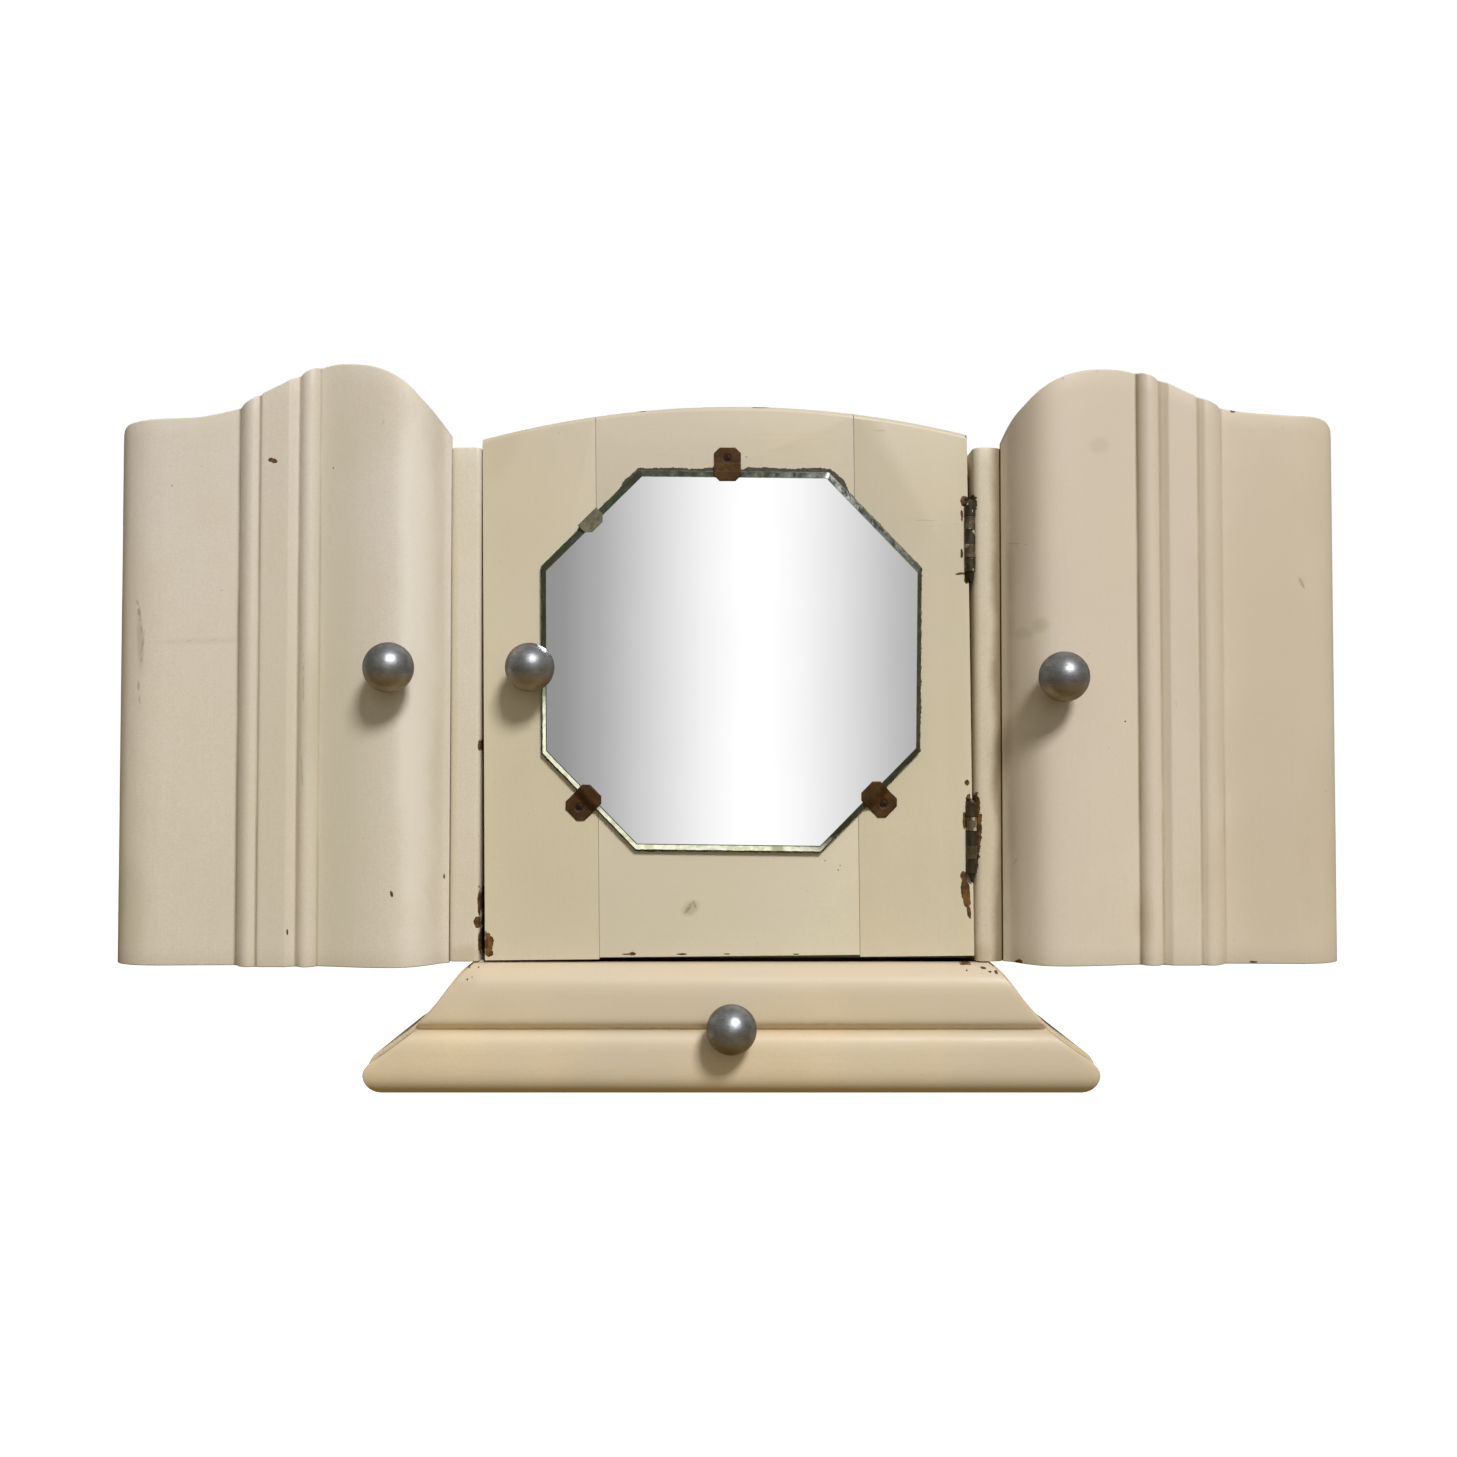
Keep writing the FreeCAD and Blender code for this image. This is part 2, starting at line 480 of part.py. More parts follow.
made = [clip(*c) for c in CLIPS] + [clip(*CLIP_PAINTED, CLIP_SUNK)]
export("mirror_clips", group([m[0] for m in made[:3]]))
export("mirror_clip_painted", made[3][0])
screws = [m[1] for m in made]
export("clip_screws", group(screws))
wood = {"door_stile_left": stile_l, "door_stile_right": stile_r, "door_top_rail": t_rail, "door_bottom_rail": b_rail,
        "door_center_panel": panel}
for n in wood:
    wood[n] = wood[n].cut(made[3][2])
    for s in screws:
        wood[n] = wood[n].cut(s)

# ---------------------------------------------------------------- catches: sprung clips on the case, pegs on the doors
CATCH = {"mirror": (-128.0, DOOR_BACK, INNER_FRONT + 14.5), "left": (-172.0, SIDE_BACK, SIDE_FRONT + 16.0),
         "right": (172.0, SIDE_BACK, SIDE_FRONT + 16.0)}
catches = []
for n, (x, yd, ys) in CATCH.items():
    z = SHELF_Z
    base = box(x - 6, x + 6, ys - 7.0, ys + 10.0, z, z + 1.0)
    jaws = [box(x - 4.2, x - 3.2, ys - 7.0, ys + 4.0, z, z + 9.0), box(x + 3.2, x + 4.2, ys - 7.0, ys + 4.0, z, z + 9.0)]
    catches.append(fuse([base] + jaws))
    plate = box(x - 7, x + 7, yd, yd + 1.0, z - 3.0, z + 13.0)
    peg = cyl((x, yd, z + 5.0), (0, 1, 0), 1.9, (ys - yd) - 1.5)
    tip = Part.makeSphere(1.9, V(x, yd + (ys - yd) - 1.5, z + 5.0))
    export(n + "_door_strike", fuse([plate, peg, tip]))
export("door_catches", group(catches))

# ---------------------------------------------------------------- side doors
def side_section(x_in, sg, width, z):
    us, ds = SECTION_SHIFT[sg]

    def f(p):
        i = max(j for j in range(len(us) - 1) if us[j] <= p[0])
        t = (p[0] - us[i]) / (us[i + 1] - us[i])
        return V(x_in + sg * (p[0] + ds[i] + (ds[i + 1] - ds[i]) * t), SIDE_BACK - p[1], z)
    e = [spline([f(p) for p in BULGE]), line(f(BULGE[-1]), f(INNER_BEAD[0])),
         Part.Arc(*[f(p) for p in INNER_BEAD]).toShape(), line(f(INNER_BEAD[2]), f(BAND[0]))]
    for a, b in zip(BAND[:-1], BAND[1:]):
        e.append(line(f(a), f(b)))
    e.append(spline([f(p) for p in OUTER_BEAD]))
    e.append(line(f(OUTER_BEAD[-1]), f(FLAT[0])))
    e.append(line(f(FLAT[0]), f(FLAT[1])))
    e.append(spline([f(p) for p in ROUNDING]))
    e.append(line(f(ROUNDING[-1]), f((0, 0))))
    e.append(line(f((0, 0)), f(BULGE[0])))
    return Part.Face(Part.Wire(e))


def side_door(x_in, x_out, sg, bot, top):
    blank = side_section(x_in, sg, abs(x_out - x_in), bot).extrude(V(0, 0, 90.0 - bot))
    pts = [V(x, -170.0, z) for x, z in top]
    a, b = pts[0], pts[-1]
    e = [spline(pts), line(b, V(b.x - sg * 5, -170, b.z)), line(V(b.x - sg * 5, -170, b.z), V(b.x - sg * 5, -170, bot - 5)),
         line(V(b.x - sg * 5, -170, bot - 5), V(a.x + sg * 5, -170, bot - 5)),
         line(V(a.x + sg * 5, -170, bot - 5), V(a.x + sg * 5, -170, a.z)), line(V(a.x + sg * 5, -170, a.z), a)]
    outline = Part.Face(Part.Wire(e)).extrude(V(0, 60, 0))
    return blank.common(outline)


for side, sg, xi, xo, bot, top in (("left", -1.0, SIDE_L_IN, SIDE_L_OUT, SIDE_L_BOT, TOP_L),
                                   ("right", 1.0, SIDE_R_IN, SIDE_R_OUT, SIDE_R_BOT, TOP_R)):
    s = side_door(xi, xo, sg, bot, top)
    s = mortise(s, side_hinges[side], "door", SIDE_HINGE_R + 0.3, sg * SIDE_HINGE_X, SIDE_HINGE_Y, (1.4, 1.4))
    kx, kz = KNOBS[side]
    y = SIDE_BACK - 26.2
    # a small flat under the knob's foot
    s = s.cut(cyl((kx, y - 6, kz), (0, 1, 0), 7.2, 6.4))
    s = s.cut(cyl((kx, -160, kz), (0, 1, 0), 2.25, 60))
    export(side + "_door_panel", s)
    export(side + "_door_knob", knob(kx, kz, y + 0.4))
    export(side + "_door_knob_screw", knob_screw(kx, kz, SIDE_BACK, y + 0.4))

for n in wood:
    export(n, wood[n])

# ---------------------------------------------------------------- hinge nodes
export("mirror_hinge_frame_leaves", group([h["frame"] for h in mirror_hinges]))
export("mirror_hinge_door_leaves", group([h["door"] for h in mirror_hinges]))
export("side_hinge_frame_leaves", group([h["frame"] for s in ("left", "right") for h in side_hinges[s]]))
export("hinge_pins", group([h["pin"] for h in mirror_hinges + side_hinges["left"] + side_hinges["right"]]))
export("frame_hinge_screws", group([m for h in mirror_hinges + side_hinges["left"] + side_hinges["right"]
                                    for m in h["frame_screws"]]))
export("mirror_door_hinge_screws", group([m for h in mirror_hinges for m in h["door_screws"]]))
for side in ("left", "right"):
    export(side + "_door_hinge_leaves", group([h["door"] for h in side_hinges[side]]))
    export(side + "_door_hinge_screws", group([m for h in side_hinges[side] for m in h["door_screws"]]))

# ---------------------------------------------------------------- drawer
def drawer_front():
    y = DRAWER_BACKPLANE
    f = lambda p: V(-230.0, y - p[1], p[0])
    e = [spline([f(p) for p in DRAWER_FACE]), line(f(DRAWER_FACE[-1]), f(DRAWER_QUIRK[0])),
         line(f(DRAWER_QUIRK[0]), f(DRAWER_QUIRK[1])), line(f(DRAWER_QUIRK[1]), f(DRAWER_LOBE[0])),
         spline([f(p) for p in DRAWER_LOBE]), line(f(DRAWER_LOBE[-1]), f((DRAWER_BOT, 0))),
         line(f((DRAWER_BOT, 0)), f((DRAWER_TOP, 0))), line(f((DRAWER_TOP, 0)), f(DRAWER_FACE[0]))]
    blank = Part.Face(Part.Wire(e)).extrude(V(470, 0, 0))
    ro = [V(DRAWER_X + x, -170.0, z) for x, z in OGEE]
    lo = [V(DRAWER_X - x, -170.0, z) for x, z in OGEE]
    up = 3.0
    e = [spline(ro), line(ro[-1], V(ro[-1].x, -170, DRAWER_BOT - up)),
         line(V(ro[-1].x, -170, DRAWER_BOT - up), V(lo[-1].x, -170, DRAWER_BOT - up)),
         line(V(lo[-1].x, -170, DRAWER_BOT - up), lo[-1]), spline(lo[::-1]),
         line(lo[0], V(lo[0].x, -170, DRAWER_TOP + up)), line(V(lo[0].x, -170, DRAWER_TOP + up), V(ro[0].x, -170, DRAWER_TOP + up)),
         line(V(ro[0].x, -170, DRAWER_TOP + up), ro[0])]
    outline = Part.Face(Part.Wire(e)).extrude(V(0, 60, 0))
    return blank.common(outline)


df = drawer_front()
kx, kz = KNOBS["drawer"]
ky = DRAWER_BACKPLANE - 16.0
df = df.cut(cyl((kx, ky - 10, kz), (0, 1, 0), 7.2, 10.0))
df = df.cut(cyl((kx, -160, kz), (0, 1, 0), 2.25, 60))
export("drawer_front", df)
export("drawer_knob", knob(kx, kz, ky))
export("drawer_knob_screw", knob_screw(kx, kz, DRAWER_BACKPLANE, ky))
export("drawer_sides", group([box(DRAWER_X + s * (BOX_HALF - BOX_T / 2.0) - BOX_T / 2.0, DRAWER_X + s * (BOX_HALF - BOX_T / 2.0) + BOX_T / 2.0,
                                  DRAWER_BACKPLANE, BOX_BACK, BOX_BOT, BOX_TOP) for s in (-1, 1)]))
export("drawer_back", box(DRAWER_X - BOX_HALF + BOX_T, DRAWER_X + BOX_HALF - BOX_T, BOX_BACK - BOX_T, BOX_BACK, BOX_BOT, BOX_TOP - 4))
export("drawer_bottom", box(DRAWER_X - BOX_HALF + BOX_T, DRAWER_X + BOX_HALF - BOX_T, DRAWER_BACKPLANE, BOX_BACK - BOX_T,
                            BOX_BOT, BOX_BOT + 4.0))

# ---------------------------------------------------------------- write
os.makedirs("parts", exist_ok=True)
for name, shape in parts.items():
    if shape.ShapeType == "Compound" and len(shape.Solids) == 1:
        shape = shape.Solids[0]
    shape.exportStep("parts/" + name + ".step")
    print(name, len(shape.Solids), "valid" if shape.isValid() else "NOT VALID", round(shape.Volume / 1000.0, 2), "cm3")
print(len(parts), "nodes")
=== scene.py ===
import bpy, bmesh, math, random
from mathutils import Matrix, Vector, noise


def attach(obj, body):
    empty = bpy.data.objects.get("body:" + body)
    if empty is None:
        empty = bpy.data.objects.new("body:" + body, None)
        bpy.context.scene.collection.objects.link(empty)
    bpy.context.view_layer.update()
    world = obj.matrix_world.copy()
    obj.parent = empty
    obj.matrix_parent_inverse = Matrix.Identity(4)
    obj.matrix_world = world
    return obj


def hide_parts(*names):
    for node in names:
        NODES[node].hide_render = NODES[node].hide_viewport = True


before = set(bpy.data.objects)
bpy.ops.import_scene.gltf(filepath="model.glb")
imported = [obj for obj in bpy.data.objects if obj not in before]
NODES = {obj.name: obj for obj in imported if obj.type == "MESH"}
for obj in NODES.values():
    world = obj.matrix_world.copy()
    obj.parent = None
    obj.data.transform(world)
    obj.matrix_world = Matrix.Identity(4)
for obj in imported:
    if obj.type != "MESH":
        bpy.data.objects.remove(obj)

random.seed(7)
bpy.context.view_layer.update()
MM = 0.001


# =====================================================================  camera and light
PITCH = math.radians(1.7)
DIST = 0.850
cam_data = bpy.data.cameras.new("camera")
cam_data.sensor_width = 36.0
cam_data.lens = 36.0 * 1465.0 / 1457.0
cam_data.clip_start = 0.01
cam_data.clip_end = 50.0
cam = bpy.data.objects.new("camera", cam_data)
cam.location = (0.001, -0.129 - DIST * math.cos(PITCH), -0.1572)
cam.rotation_euler = (math.radians(90.0) + PITCH, 0.0, 0.0)
bpy.context.scene.collection.objects.link(cam)
bpy.context.scene.camera = cam

scene = bpy.context.scene
scene.view_settings.view_transform = "Standard"
scene.view_settings.look = "None"
scene.view_settings.exposure = 0.0
scene.view_settings.gamma = 1.0

world = bpy.data.worlds.new("studio")
scene.world = world
world.use_nodes = True
wt = world.node_tree
wt.nodes.clear()
w_out = wt.nodes.new("ShaderNodeOutputWorld")
w_mix = wt.nodes.new("ShaderNodeMixShader")
w_lp = wt.nodes.new("ShaderNodeLightPath")
w_cam = wt.nodes.new("ShaderNodeBackground")
w_amb = wt.nodes.new("ShaderNodeBackground")
w_cam.inputs[0].default_value = (1.0, 1.0, 1.0, 1.0)
w_cam.inputs[1].default_value = 1.0
w_tc = wt.nodes.new("ShaderNodeTexCoord")
w_sep = wt.nodes.new("ShaderNodeSeparateXYZ")
w_ramp = wt.nodes.new("ShaderNodeValToRGB")
w_map = wt.nodes.new("ShaderNodeMapRange")
w_map.inputs["From Min"].default_value = -1.0
w_map.inputs["From Max"].default_value = 1.0
wt.links.new(w_tc.outputs["Generated"], w_sep.inputs[0])
wt.links.new(w_sep.outputs["Z"], w_map.inputs["Value"])
wt.links.new(w_map.outputs[0], w_ramp.inputs[0])
el = w_ramp.color_ramp.elements
el[0].position = 0.0
el[0].color = (0.38, 0.26, 0.075, 1)
el[1].position = 1.0
el[1].color = (0.60, 0.58, 0.54, 1)
e = el.new(0.42)
e.color = (0.26, 0.21, 0.12, 1)
e = el.new(0.62)
e.color = (0.40, 0.375, 0.30, 1)
wt.links.new(w_ramp.outputs[0], w_amb.inputs[0])
w_amb.inputs[1].default_value = 0.62
wt.links.new(w_lp.outputs["Is Camera Ray"], w_mix.inputs[0])
wt.links.new(w_amb.outputs[0], w_mix.inputs[1])
wt.links.new(w_cam.outputs[0], w_mix.inputs[2])
wt.links.new(w_mix.outputs[0], w_out.inputs[0])


def area(name, loc, target, size, power, color, size_y=None):
    d = bpy.data.lights.new(name, "AREA")
    d.shape = "RECTANGLE" if size_y else "SQUARE"
    d.size = size
    if size_y:
        d.size_y = size_y
    d.energy = power
    d.color = color
    o = bpy.data.objects.new(name, d)
    o.location = loc
    v = Vector(target) - Vector(loc)
    o.rotation_euler = v.to_track_quat("-Z", "Y").to_euler()
    scene.collection.objects.link(o)
    return o


AIM = Vector((0.0, -0.13, -0.13))
KEY_DIR = Vector((0.285, -0.715, 0.64)).normalized()
area("key", AIM + KEY_DIR * 5.0, AIM, 1.15, 214.0, (1.0, 0.99, 0.98), 0.95)
fill = area("fill", AIM + Vector((0.9, -4.2, 0.9)), AIM, 2.4, 14.0, (0.93, 0.97, 1.0))
fill.visible_glossy = False

# =====================================================================  node helpers
def lin(r, g, b):
    """sRGB 0..255 to linear."""
    out = []
    for c in (r, g, b):
        c = c / 255.0
        out.append(c / 12.92 if c <= 0.04045 else ((c + 0.055) / 1.055) ** 2.4)
    return tuple(out) + (1.0,)


class Tree:
    def __init__(self, name):
        self.mat = bpy.data.materials.new(name)
        self.mat.use_nodes = True
        self.t = self.mat.node_tree
        self.t.nodes.clear()
        self.out = self.t.nodes.new("ShaderNodeOutputMaterial")
        self.bsdf = self.t.nodes.new("ShaderNodeBsdfPrincipled")
        self.t.links.new(self.bsdf.outputs[0], self.out.inputs[0])
        self.tc = self.t.nodes.new("ShaderNodeTexCoord")
        self.p = self.tc.outputs["Object"]
        self.sep = self.t.nodes.new("ShaderNodeSeparateXYZ")
        self.link(self.p, self.sep.inputs[0])
        self.x, self.y, self.z = self.sep.outputs

    def link(self, a, b):
        self.t.links.new(a, b)

    def put(self, sock, v):
        if isinstance(v, bpy.types.NodeSocket):
            self.link(v, sock)
        else:
            sock.default_value = v

    def math(self, op, a, b=0.0, c=None, clamp=False):
        n = self.t.nodes.new("ShaderNodeMath")
        n.operation = op
        n.use_clamp = clamp
        self.put(n.inputs[0], a)
        self.put(n.inputs[1], b)
        if c is not None:
            self.put(n.inputs[2], c)
        return n.outputs[0]

    def scaled(self, scale, offset=(0, 0, 0)):
        n = self.t.nodes.new("ShaderNodeMapping")
        n.inputs["Scale"].default_value = scale
        n.inputs["Location"].default_value = offset
        self.link(self.p, n.inputs[0])
        return n.outputs[0]

    def noise(self, scale=1.0, detail=3.0, rough=0.55, vec=None, dist=0.0):
        n = self.t.nodes.new("ShaderNodeTexNoise")
        n.inputs["Scale"].default_value = scale
        n.inputs["Detail"].default_value = detail
        n.inputs["Roughness"].default_value = rough
        n.inputs["Distortion"].default_value = dist
        self.link(vec if vec is not None else self.p, n.inputs["Vector"])
        return n.outputs[0]

    def smooth(self, v, lo, hi, a=0.0, b=1.0):
        n = self.t.nodes.new("ShaderNodeMapRange")
        n.interpolation_type = "SMOOTHSTEP"
        self.put(n.inputs["Value"], v)
        n.inputs["From Min"].default_value = lo
        n.inputs["From Max"].default_value = hi
        n.inputs["To Min"].default_value = a
        n.inputs["To Max"].default_value = b
        return n.outputs[0]

    def mix(self, f, a, b, blend="MIX"):
        n = self.t.nodes.new("ShaderNodeMix")
        n.data_type = "RGBA"
        n.blend_type = blend
        self.put(n.inputs[0], f)
        self.put(n.inputs[6], a)
        self.put(n.inputs[7], b)
        return n.outputs[2]

    def blob(self, x, z, rx, rz, ang=0.0, rag=0.5, edge=0.12, warp=None):
        """Irregular spot around (x, z) mm on the front, as a 0..1 mask. warp is a noise socket."""
        c, s = math.cos(math.radians(ang)), math.sin(math.radians(ang))
        dx = self.math("SUBTRACT", self.x, x * MM)
        dz = self.math("SUBTRACT", self.z, z * MM)
        a = self.math("ADD", self.math("MULTIPLY", dx, c / (rx * MM)), self.math("MULTIPLY", dz, s / (rx * MM)))
        b = self.math("ADD", self.math("MULTIPLY", dx, -s / (rz * MM)), self.math("MULTIPLY", dz, c / (rz * MM)))
        d = self.math("SQRT", self.math("ADD", self.math("MULTIPLY", a, a), self.math("MULTIPLY", b, b)))
        if warp is not None:
            d = self.math("ADD", d, self.math("MULTIPLY", self.math("SUBTRACT", warp, 0.5), 2.0 * rag))
        return self.smooth(d, 1.0 - edge, 1.0 + edge, 1.0, 0.0)

    def most(self, masks):
        m = masks[0]
        for o in masks[1:]:
            m = self.math("MAXIMUM", m, o)
        return m

    def bump(self, height, distance, strength=1.0, normal=None):
        n = self.t.nodes.new("ShaderNodeBump")
        n.inputs["Strength"].default_value = strength
        n.inputs["Distance"].default_value = distance
        self.link(height, n.inputs["Height"])
        if normal is not None:
            self.link(normal, n.inputs["Normal"])
        return n.outputs[0]


MIRROR_PTS = [(-51.2, 18.3), (59.5, 17.1), (113.1, -38.7), (111.8, -145.2),
              (54.2, -203.6), (-52.6, -202.3), (-106.9, -146.6), (-107.7, -37.8)]

CREAM = lin(222, 212, 190)
CREAM_COOL = lin(224, 217, 200)
CREAM_WARM = lin(221, 205, 170)
CREAM_GREEN = lin(214, 208, 176)
WOOD_DARK = lin(70, 47, 17)
WOOD_MID = lin(124, 90, 40)


def paint(name, base, low, chips=(), stains_and_painted_light=(), scratches=(), brush="Z", lines=(), ring=False, seed=0.0, green=0.0,
          edge_wear=None, z_range=(-0.26, 0.03)):
    """Aged cream oil paint: brushed, mottled, chipped down to brown wood."""
    t = Tree(name)
    off = (seed * 0.37, seed * 0.21, seed * 0.53)
    big = t.noise(vec=t.scaled((5.0, 5.0, 4.0), off), detail=3)
    mid = t.noise(vec=t.scaled((22.0, 22.0, 18.0), off), detail=5, rough=0.6)
    fine = t.noise(vec=t.scaled((260.0, 260.0, 260.0), off), detail=3)
    s = (520.0, 520.0, 24.0) if brush == "Z" else (24.0, 520.0, 520.0)
    strokes = t.noise(vec=t.scaled(s, off), detail=4, rough=0.6)
    top_c, low_c = lin(*base), lin(*low)
    fall = t.smooth(t.math("ADD", t.z, t.math("MULTIPLY", t.math("SUBTRACT", big, 0.5), 0.25)), z_range[0], z_range[1])
    col = t.mix(fall, low_c, top_c)
    col = t.mix(t.smooth(big, 0.36, 0.64, 0.0, 0.30), col, tuple(c * k for c, k in zip(top_c[:3], (0.965, 0.97, 1.0))) + (1.0,))
    if green:
        g = t.smooth(t.noise(vec=t.scaled((9.0, 9.0, 7.0), (3.1, 0, 1.7)), detail=2), 0.42, 0.62)
        col = t.mix(t.math("MULTIPLY", g, green), col, CREAM_GREEN)
    dirt = tuple(c * k for c, k in zip(low_c[:3], (0.84, 0.81, 0.74))) + (1.0,)
    col = t.mix(t.smooth(mid, 0.40, 0.68, 0.0, 0.30), col, dirt)
    col = t.mix(t.smooth(strokes, 0.42, 0.72, 0.0, 0.14), col, dirt)
    grit = t.noise(vec=t.scaled((620.0, 620.0, 620.0), off), detail=2)
    col = t.mix(t.smooth(grit, 0.45, 0.75, 0.0, 0.30), col, dirt)
    grain = t.noise(vec=t.scaled((1350.0, 1350.0, 1350.0), off), detail=2, rough=0.7)
    col = t.mix(t.smooth(grain, 0.34, 0.66, 0.34, 0.0), col, tuple(c * k for c, k in zip(low_c[:3], (0.80, 0.78, 0.74))) + (1.0,))
    pale = tuple(min(0.95, c * 1.07) for c in top_c[:3]) + (1.0,)
    col = t.mix(t.smooth(grain, 0.50, 0.72, 0.0, 0.42), col, pale)
    # scattered flecks of dirt
    vor = t.t.nodes.new("ShaderNodeTexVoronoi")
    vor.inputs["Scale"].default_value = 62.0
    t.link(t.p, vor.inputs["Vector"])
    near = t.smooth(vor.outputs["Distance"], 0.022, 0.05, 1.0, 0.0)
    sel = t.smooth(t.noise(vec=t.scaled((62.0, 62.0, 62.0), (seed, 2.0, 5.0)), detail=1), 0.60, 0.64)
    col = t.mix(t.math("MULTIPLY", near, t.math("MULTIPLY", sel, 0.55)), col, lin(120, 104, 74))
    vor = t.t.nodes.new("ShaderNodeTexVoronoi")
    vor.inputs["Scale"].default_value = 130.0
    t.link(t.scaled((1.0, 1.0, 1.0), (0.31 + seed, 0.17, 0.05)), vor.inputs["Vector"])
    near = t.smooth(vor.outputs["Distance"], 0.03, 0.07, 1.0, 0.0)
    sel = t.smooth(t.noise(vec=t.scaled((130.0, 130.0, 130.0), (seed, 7.0, 1.0)), detail=1), 0.60, 0.66)
    col = t.mix(t.math("MULTIPLY", near, t.math("MULTIPLY", sel, 0.40)), col, lin(132, 118, 88))
    # stains: real stains, dirt and tone, and on some doors painted shade and painted highlight bands along the
    # mouldings
    for (x, z, rx, rz, ang, strength, tone) in stains_and_painted_light:
        m = t.blob(x, z, rx, rz, ang, rag=0.9, edge=0.55, warp=mid)
        col = t.mix(t.math("MULTIPLY", m, strength), col, lin(*tone))
    for (x, z, rx, rz, ang, strength) in scratches:
        m = t.blob(x, z, rx, rz, ang, rag=0.7, edge=0.5, warp=fine)
        brk = t.smooth(t.noise(vec=t.scaled((140.0, 140.0, 140.0), (x, z, 0)), detail=2), 0.42, 0.56)
        col = t.mix(t.math("MULTIPLY", t.math("MULTIPLY", m, brk), strength), col, lin(128, 116, 92))
    # lines: painted shade, darker vertical lines at the given x along the creases of the mouldings
    for (x, w, strength) in lines:
        d = t.math("ABSOLUTE", t.math("SUBTRACT", t.x, x * MM))
        m = t.smooth(d, 0.0, w * MM, 1.0, 0.0)
        m = t.math("MULTIPLY", m, t.smooth(t.noise(vec=t.scaled((30.0, 30.0, 14.0), (x, 1, 2)), detail=4), 0.3, 0.62, 0.45, 1.0))
        col = t.mix(t.math("MULTIPLY", m, strength), col, lin(128, 112, 78))
    height = t.math("ADD", t.math("MULTIPLY", strokes, 0.6), t.math("MULTIPLY", fine, 0.15))
    rough = t.math("ADD", t.smooth(mid, 0.3, 0.7, 0.36, 0.48), t.math("MULTIPLY", strokes, 0.06))
    normal = t.bump(height, 0.00016, 0.55)
    normal = t.bump(mid, 0.0006, 0.35, normal)
    masks = []
    warp = t.noise(vec=t.scaled((230.0, 230.0, 230.0), off), detail=3, rough=0.6)
    for c in chips:
        x, z, rx, rz = c[:4]
        ang = c[4] if len(c) > 4 else 0.0
        masks.append(t.blob(x, z, rx, rz, ang, rag=c[5] if len(c) > 5 else 1.0, edge=0.07, warp=warp))
    if edge_wear:
        # broken paint along a straight edge: ("x" or "z", position, width, amount, low, high)
        for ax, pos, w, amount, lo, hi in edge_wear:
            v = t.x if ax == "x" else t.z
            o = t.z if ax == "x" else t.x
            d = t.math("ABSOLUTE", t.math("SUBTRACT", v, pos * MM))
            n = t.noise(vec=t.scaled((170.0, 170.0, 170.0), (pos, w, 3)), detail=4, rough=0.65)
            m = t.smooth(t.math("ADD", t.math("DIVIDE", d, w * MM), t.math("MULTIPLY", t.math("SUBTRACT", n, amount), 7.0)),
                         0.9, 1.1, 1.0, 0.0)
            inside = t.math("MULTIPLY", t.smooth(o, lo * MM - 0.004, lo * MM), t.smooth(o, hi * MM, hi * MM + 0.004, 1.0, 0.0))
            masks.append(t.math("MULTIPLY", m, inside))
    if ring:
        # old adhesive and broken paint around the glass
        sd = None
        n = len(MIRROR_PTS)
        cx = sum(p[0] for p in MIRROR_PTS) / n
        cz = sum(p[1] for p in MIRROR_PTS) / n
        for i in range(n):
            (x0, z0), (x1, z1) = MIRROR_PTS[i], MIRROR_PTS[(i + 1) % n]
            ln = math.hypot(x1 - x0, z1 - z0)
            nx, nz = (z1 - z0) / ln, -(x1 - x0) / ln
            if (cx - x0) * nx + (cz - z0) * nz > 0:
                nx, nz = -nx, -nz
            d = t.math("SUBTRACT", t.math("ADD", t.math("MULTIPLY", t.x, nx), t.math("MULTIPLY", t.z, nz)),
                       (x0 * nx + z0 * nz) * MM)
            sd = d if sd is None else t.math("MAXIMUM", sd, d)
        jag = t.noise(vec=t.scaled((330.0, 330.0, 330.0), (1, 7, 3)), detail=4, rough=0.7)
        slow = t.noise(vec=t.scaled((34.0, 34.0, 34.0), (4, 2, 9)), detail=2)
        top = t.smooth(t.z, 0.004, 0.014)
        reach = t.math("ADD", t.math("MULTIPLY", t.smooth(slow, 0.34, 0.60), t.math("ADD", t.math("MULTIPLY", top, 0.0013), 0.0004)),
                       t.math("MULTIPLY", t.math("SUBTRACT", jag, 0.5), 0.0030))
        reach = t.math("ADD", reach, t.math("ADD", t.math("MULTIPLY", top, 0.0013), 0.0002))
        m = t.smooth(t.math("SUBTRACT", sd, reach), -0.0001, 0.00015, 1.0, 0.0)
        col_ring = t.mix(t.smooth(jag, 0.40, 0.60), lin(34, 28, 17), lin(62, 52, 34))
        halo = t.smooth(t.math("SUBTRACT", sd, 0.0), 0.0, 0.005, 0.22, 0.0)
        front = t.smooth(t.y, -0.1285, -0.1270, 1.0, 0.0)
        m = t.math("MULTIPLY", m, front)
        col = t.mix(t.math("MULTIPLY", halo, front), col, CREAM_GREEN)
        col = t.mix(t.math("MULTIPLY", m, 0.96), col, col_ring)
    if masks:
        m = t.most(masks)
        wood = t.mix(t.smooth(warp, 0.35, 0.65), WOOD_DARK, WOOD_MID)
        grain = t.noise(vec=t.scaled((900.0, 900.0, 60.0), (2, 2, 2)), detail=3)
        wood = t.mix(t.smooth(grain, 0.4, 0.7, 0.0, 0.6), wood, lin(70, 44, 20))
        rim = t.math("SUBTRACT", t.smooth(m, 0.02, 0.4), t.smooth(m, 0.5, 0.98))
        col = t.mix(m, col, wood)
        col = t.mix(t.math("MULTIPLY", rim, 0.75), col, lin(58, 40, 18))
        rough = t.math("ADD", rough, t.math("MULTIPLY", m, 0.35))
        inv = t.math("SUBTRACT", 1.0, m)
        normal = t.bump(inv, 0.0005, 1.0, normal)
    t.link(col, t.bsdf.inputs["Base Color"])
    t.link(rough, t.bsdf.inputs["Roughness"])
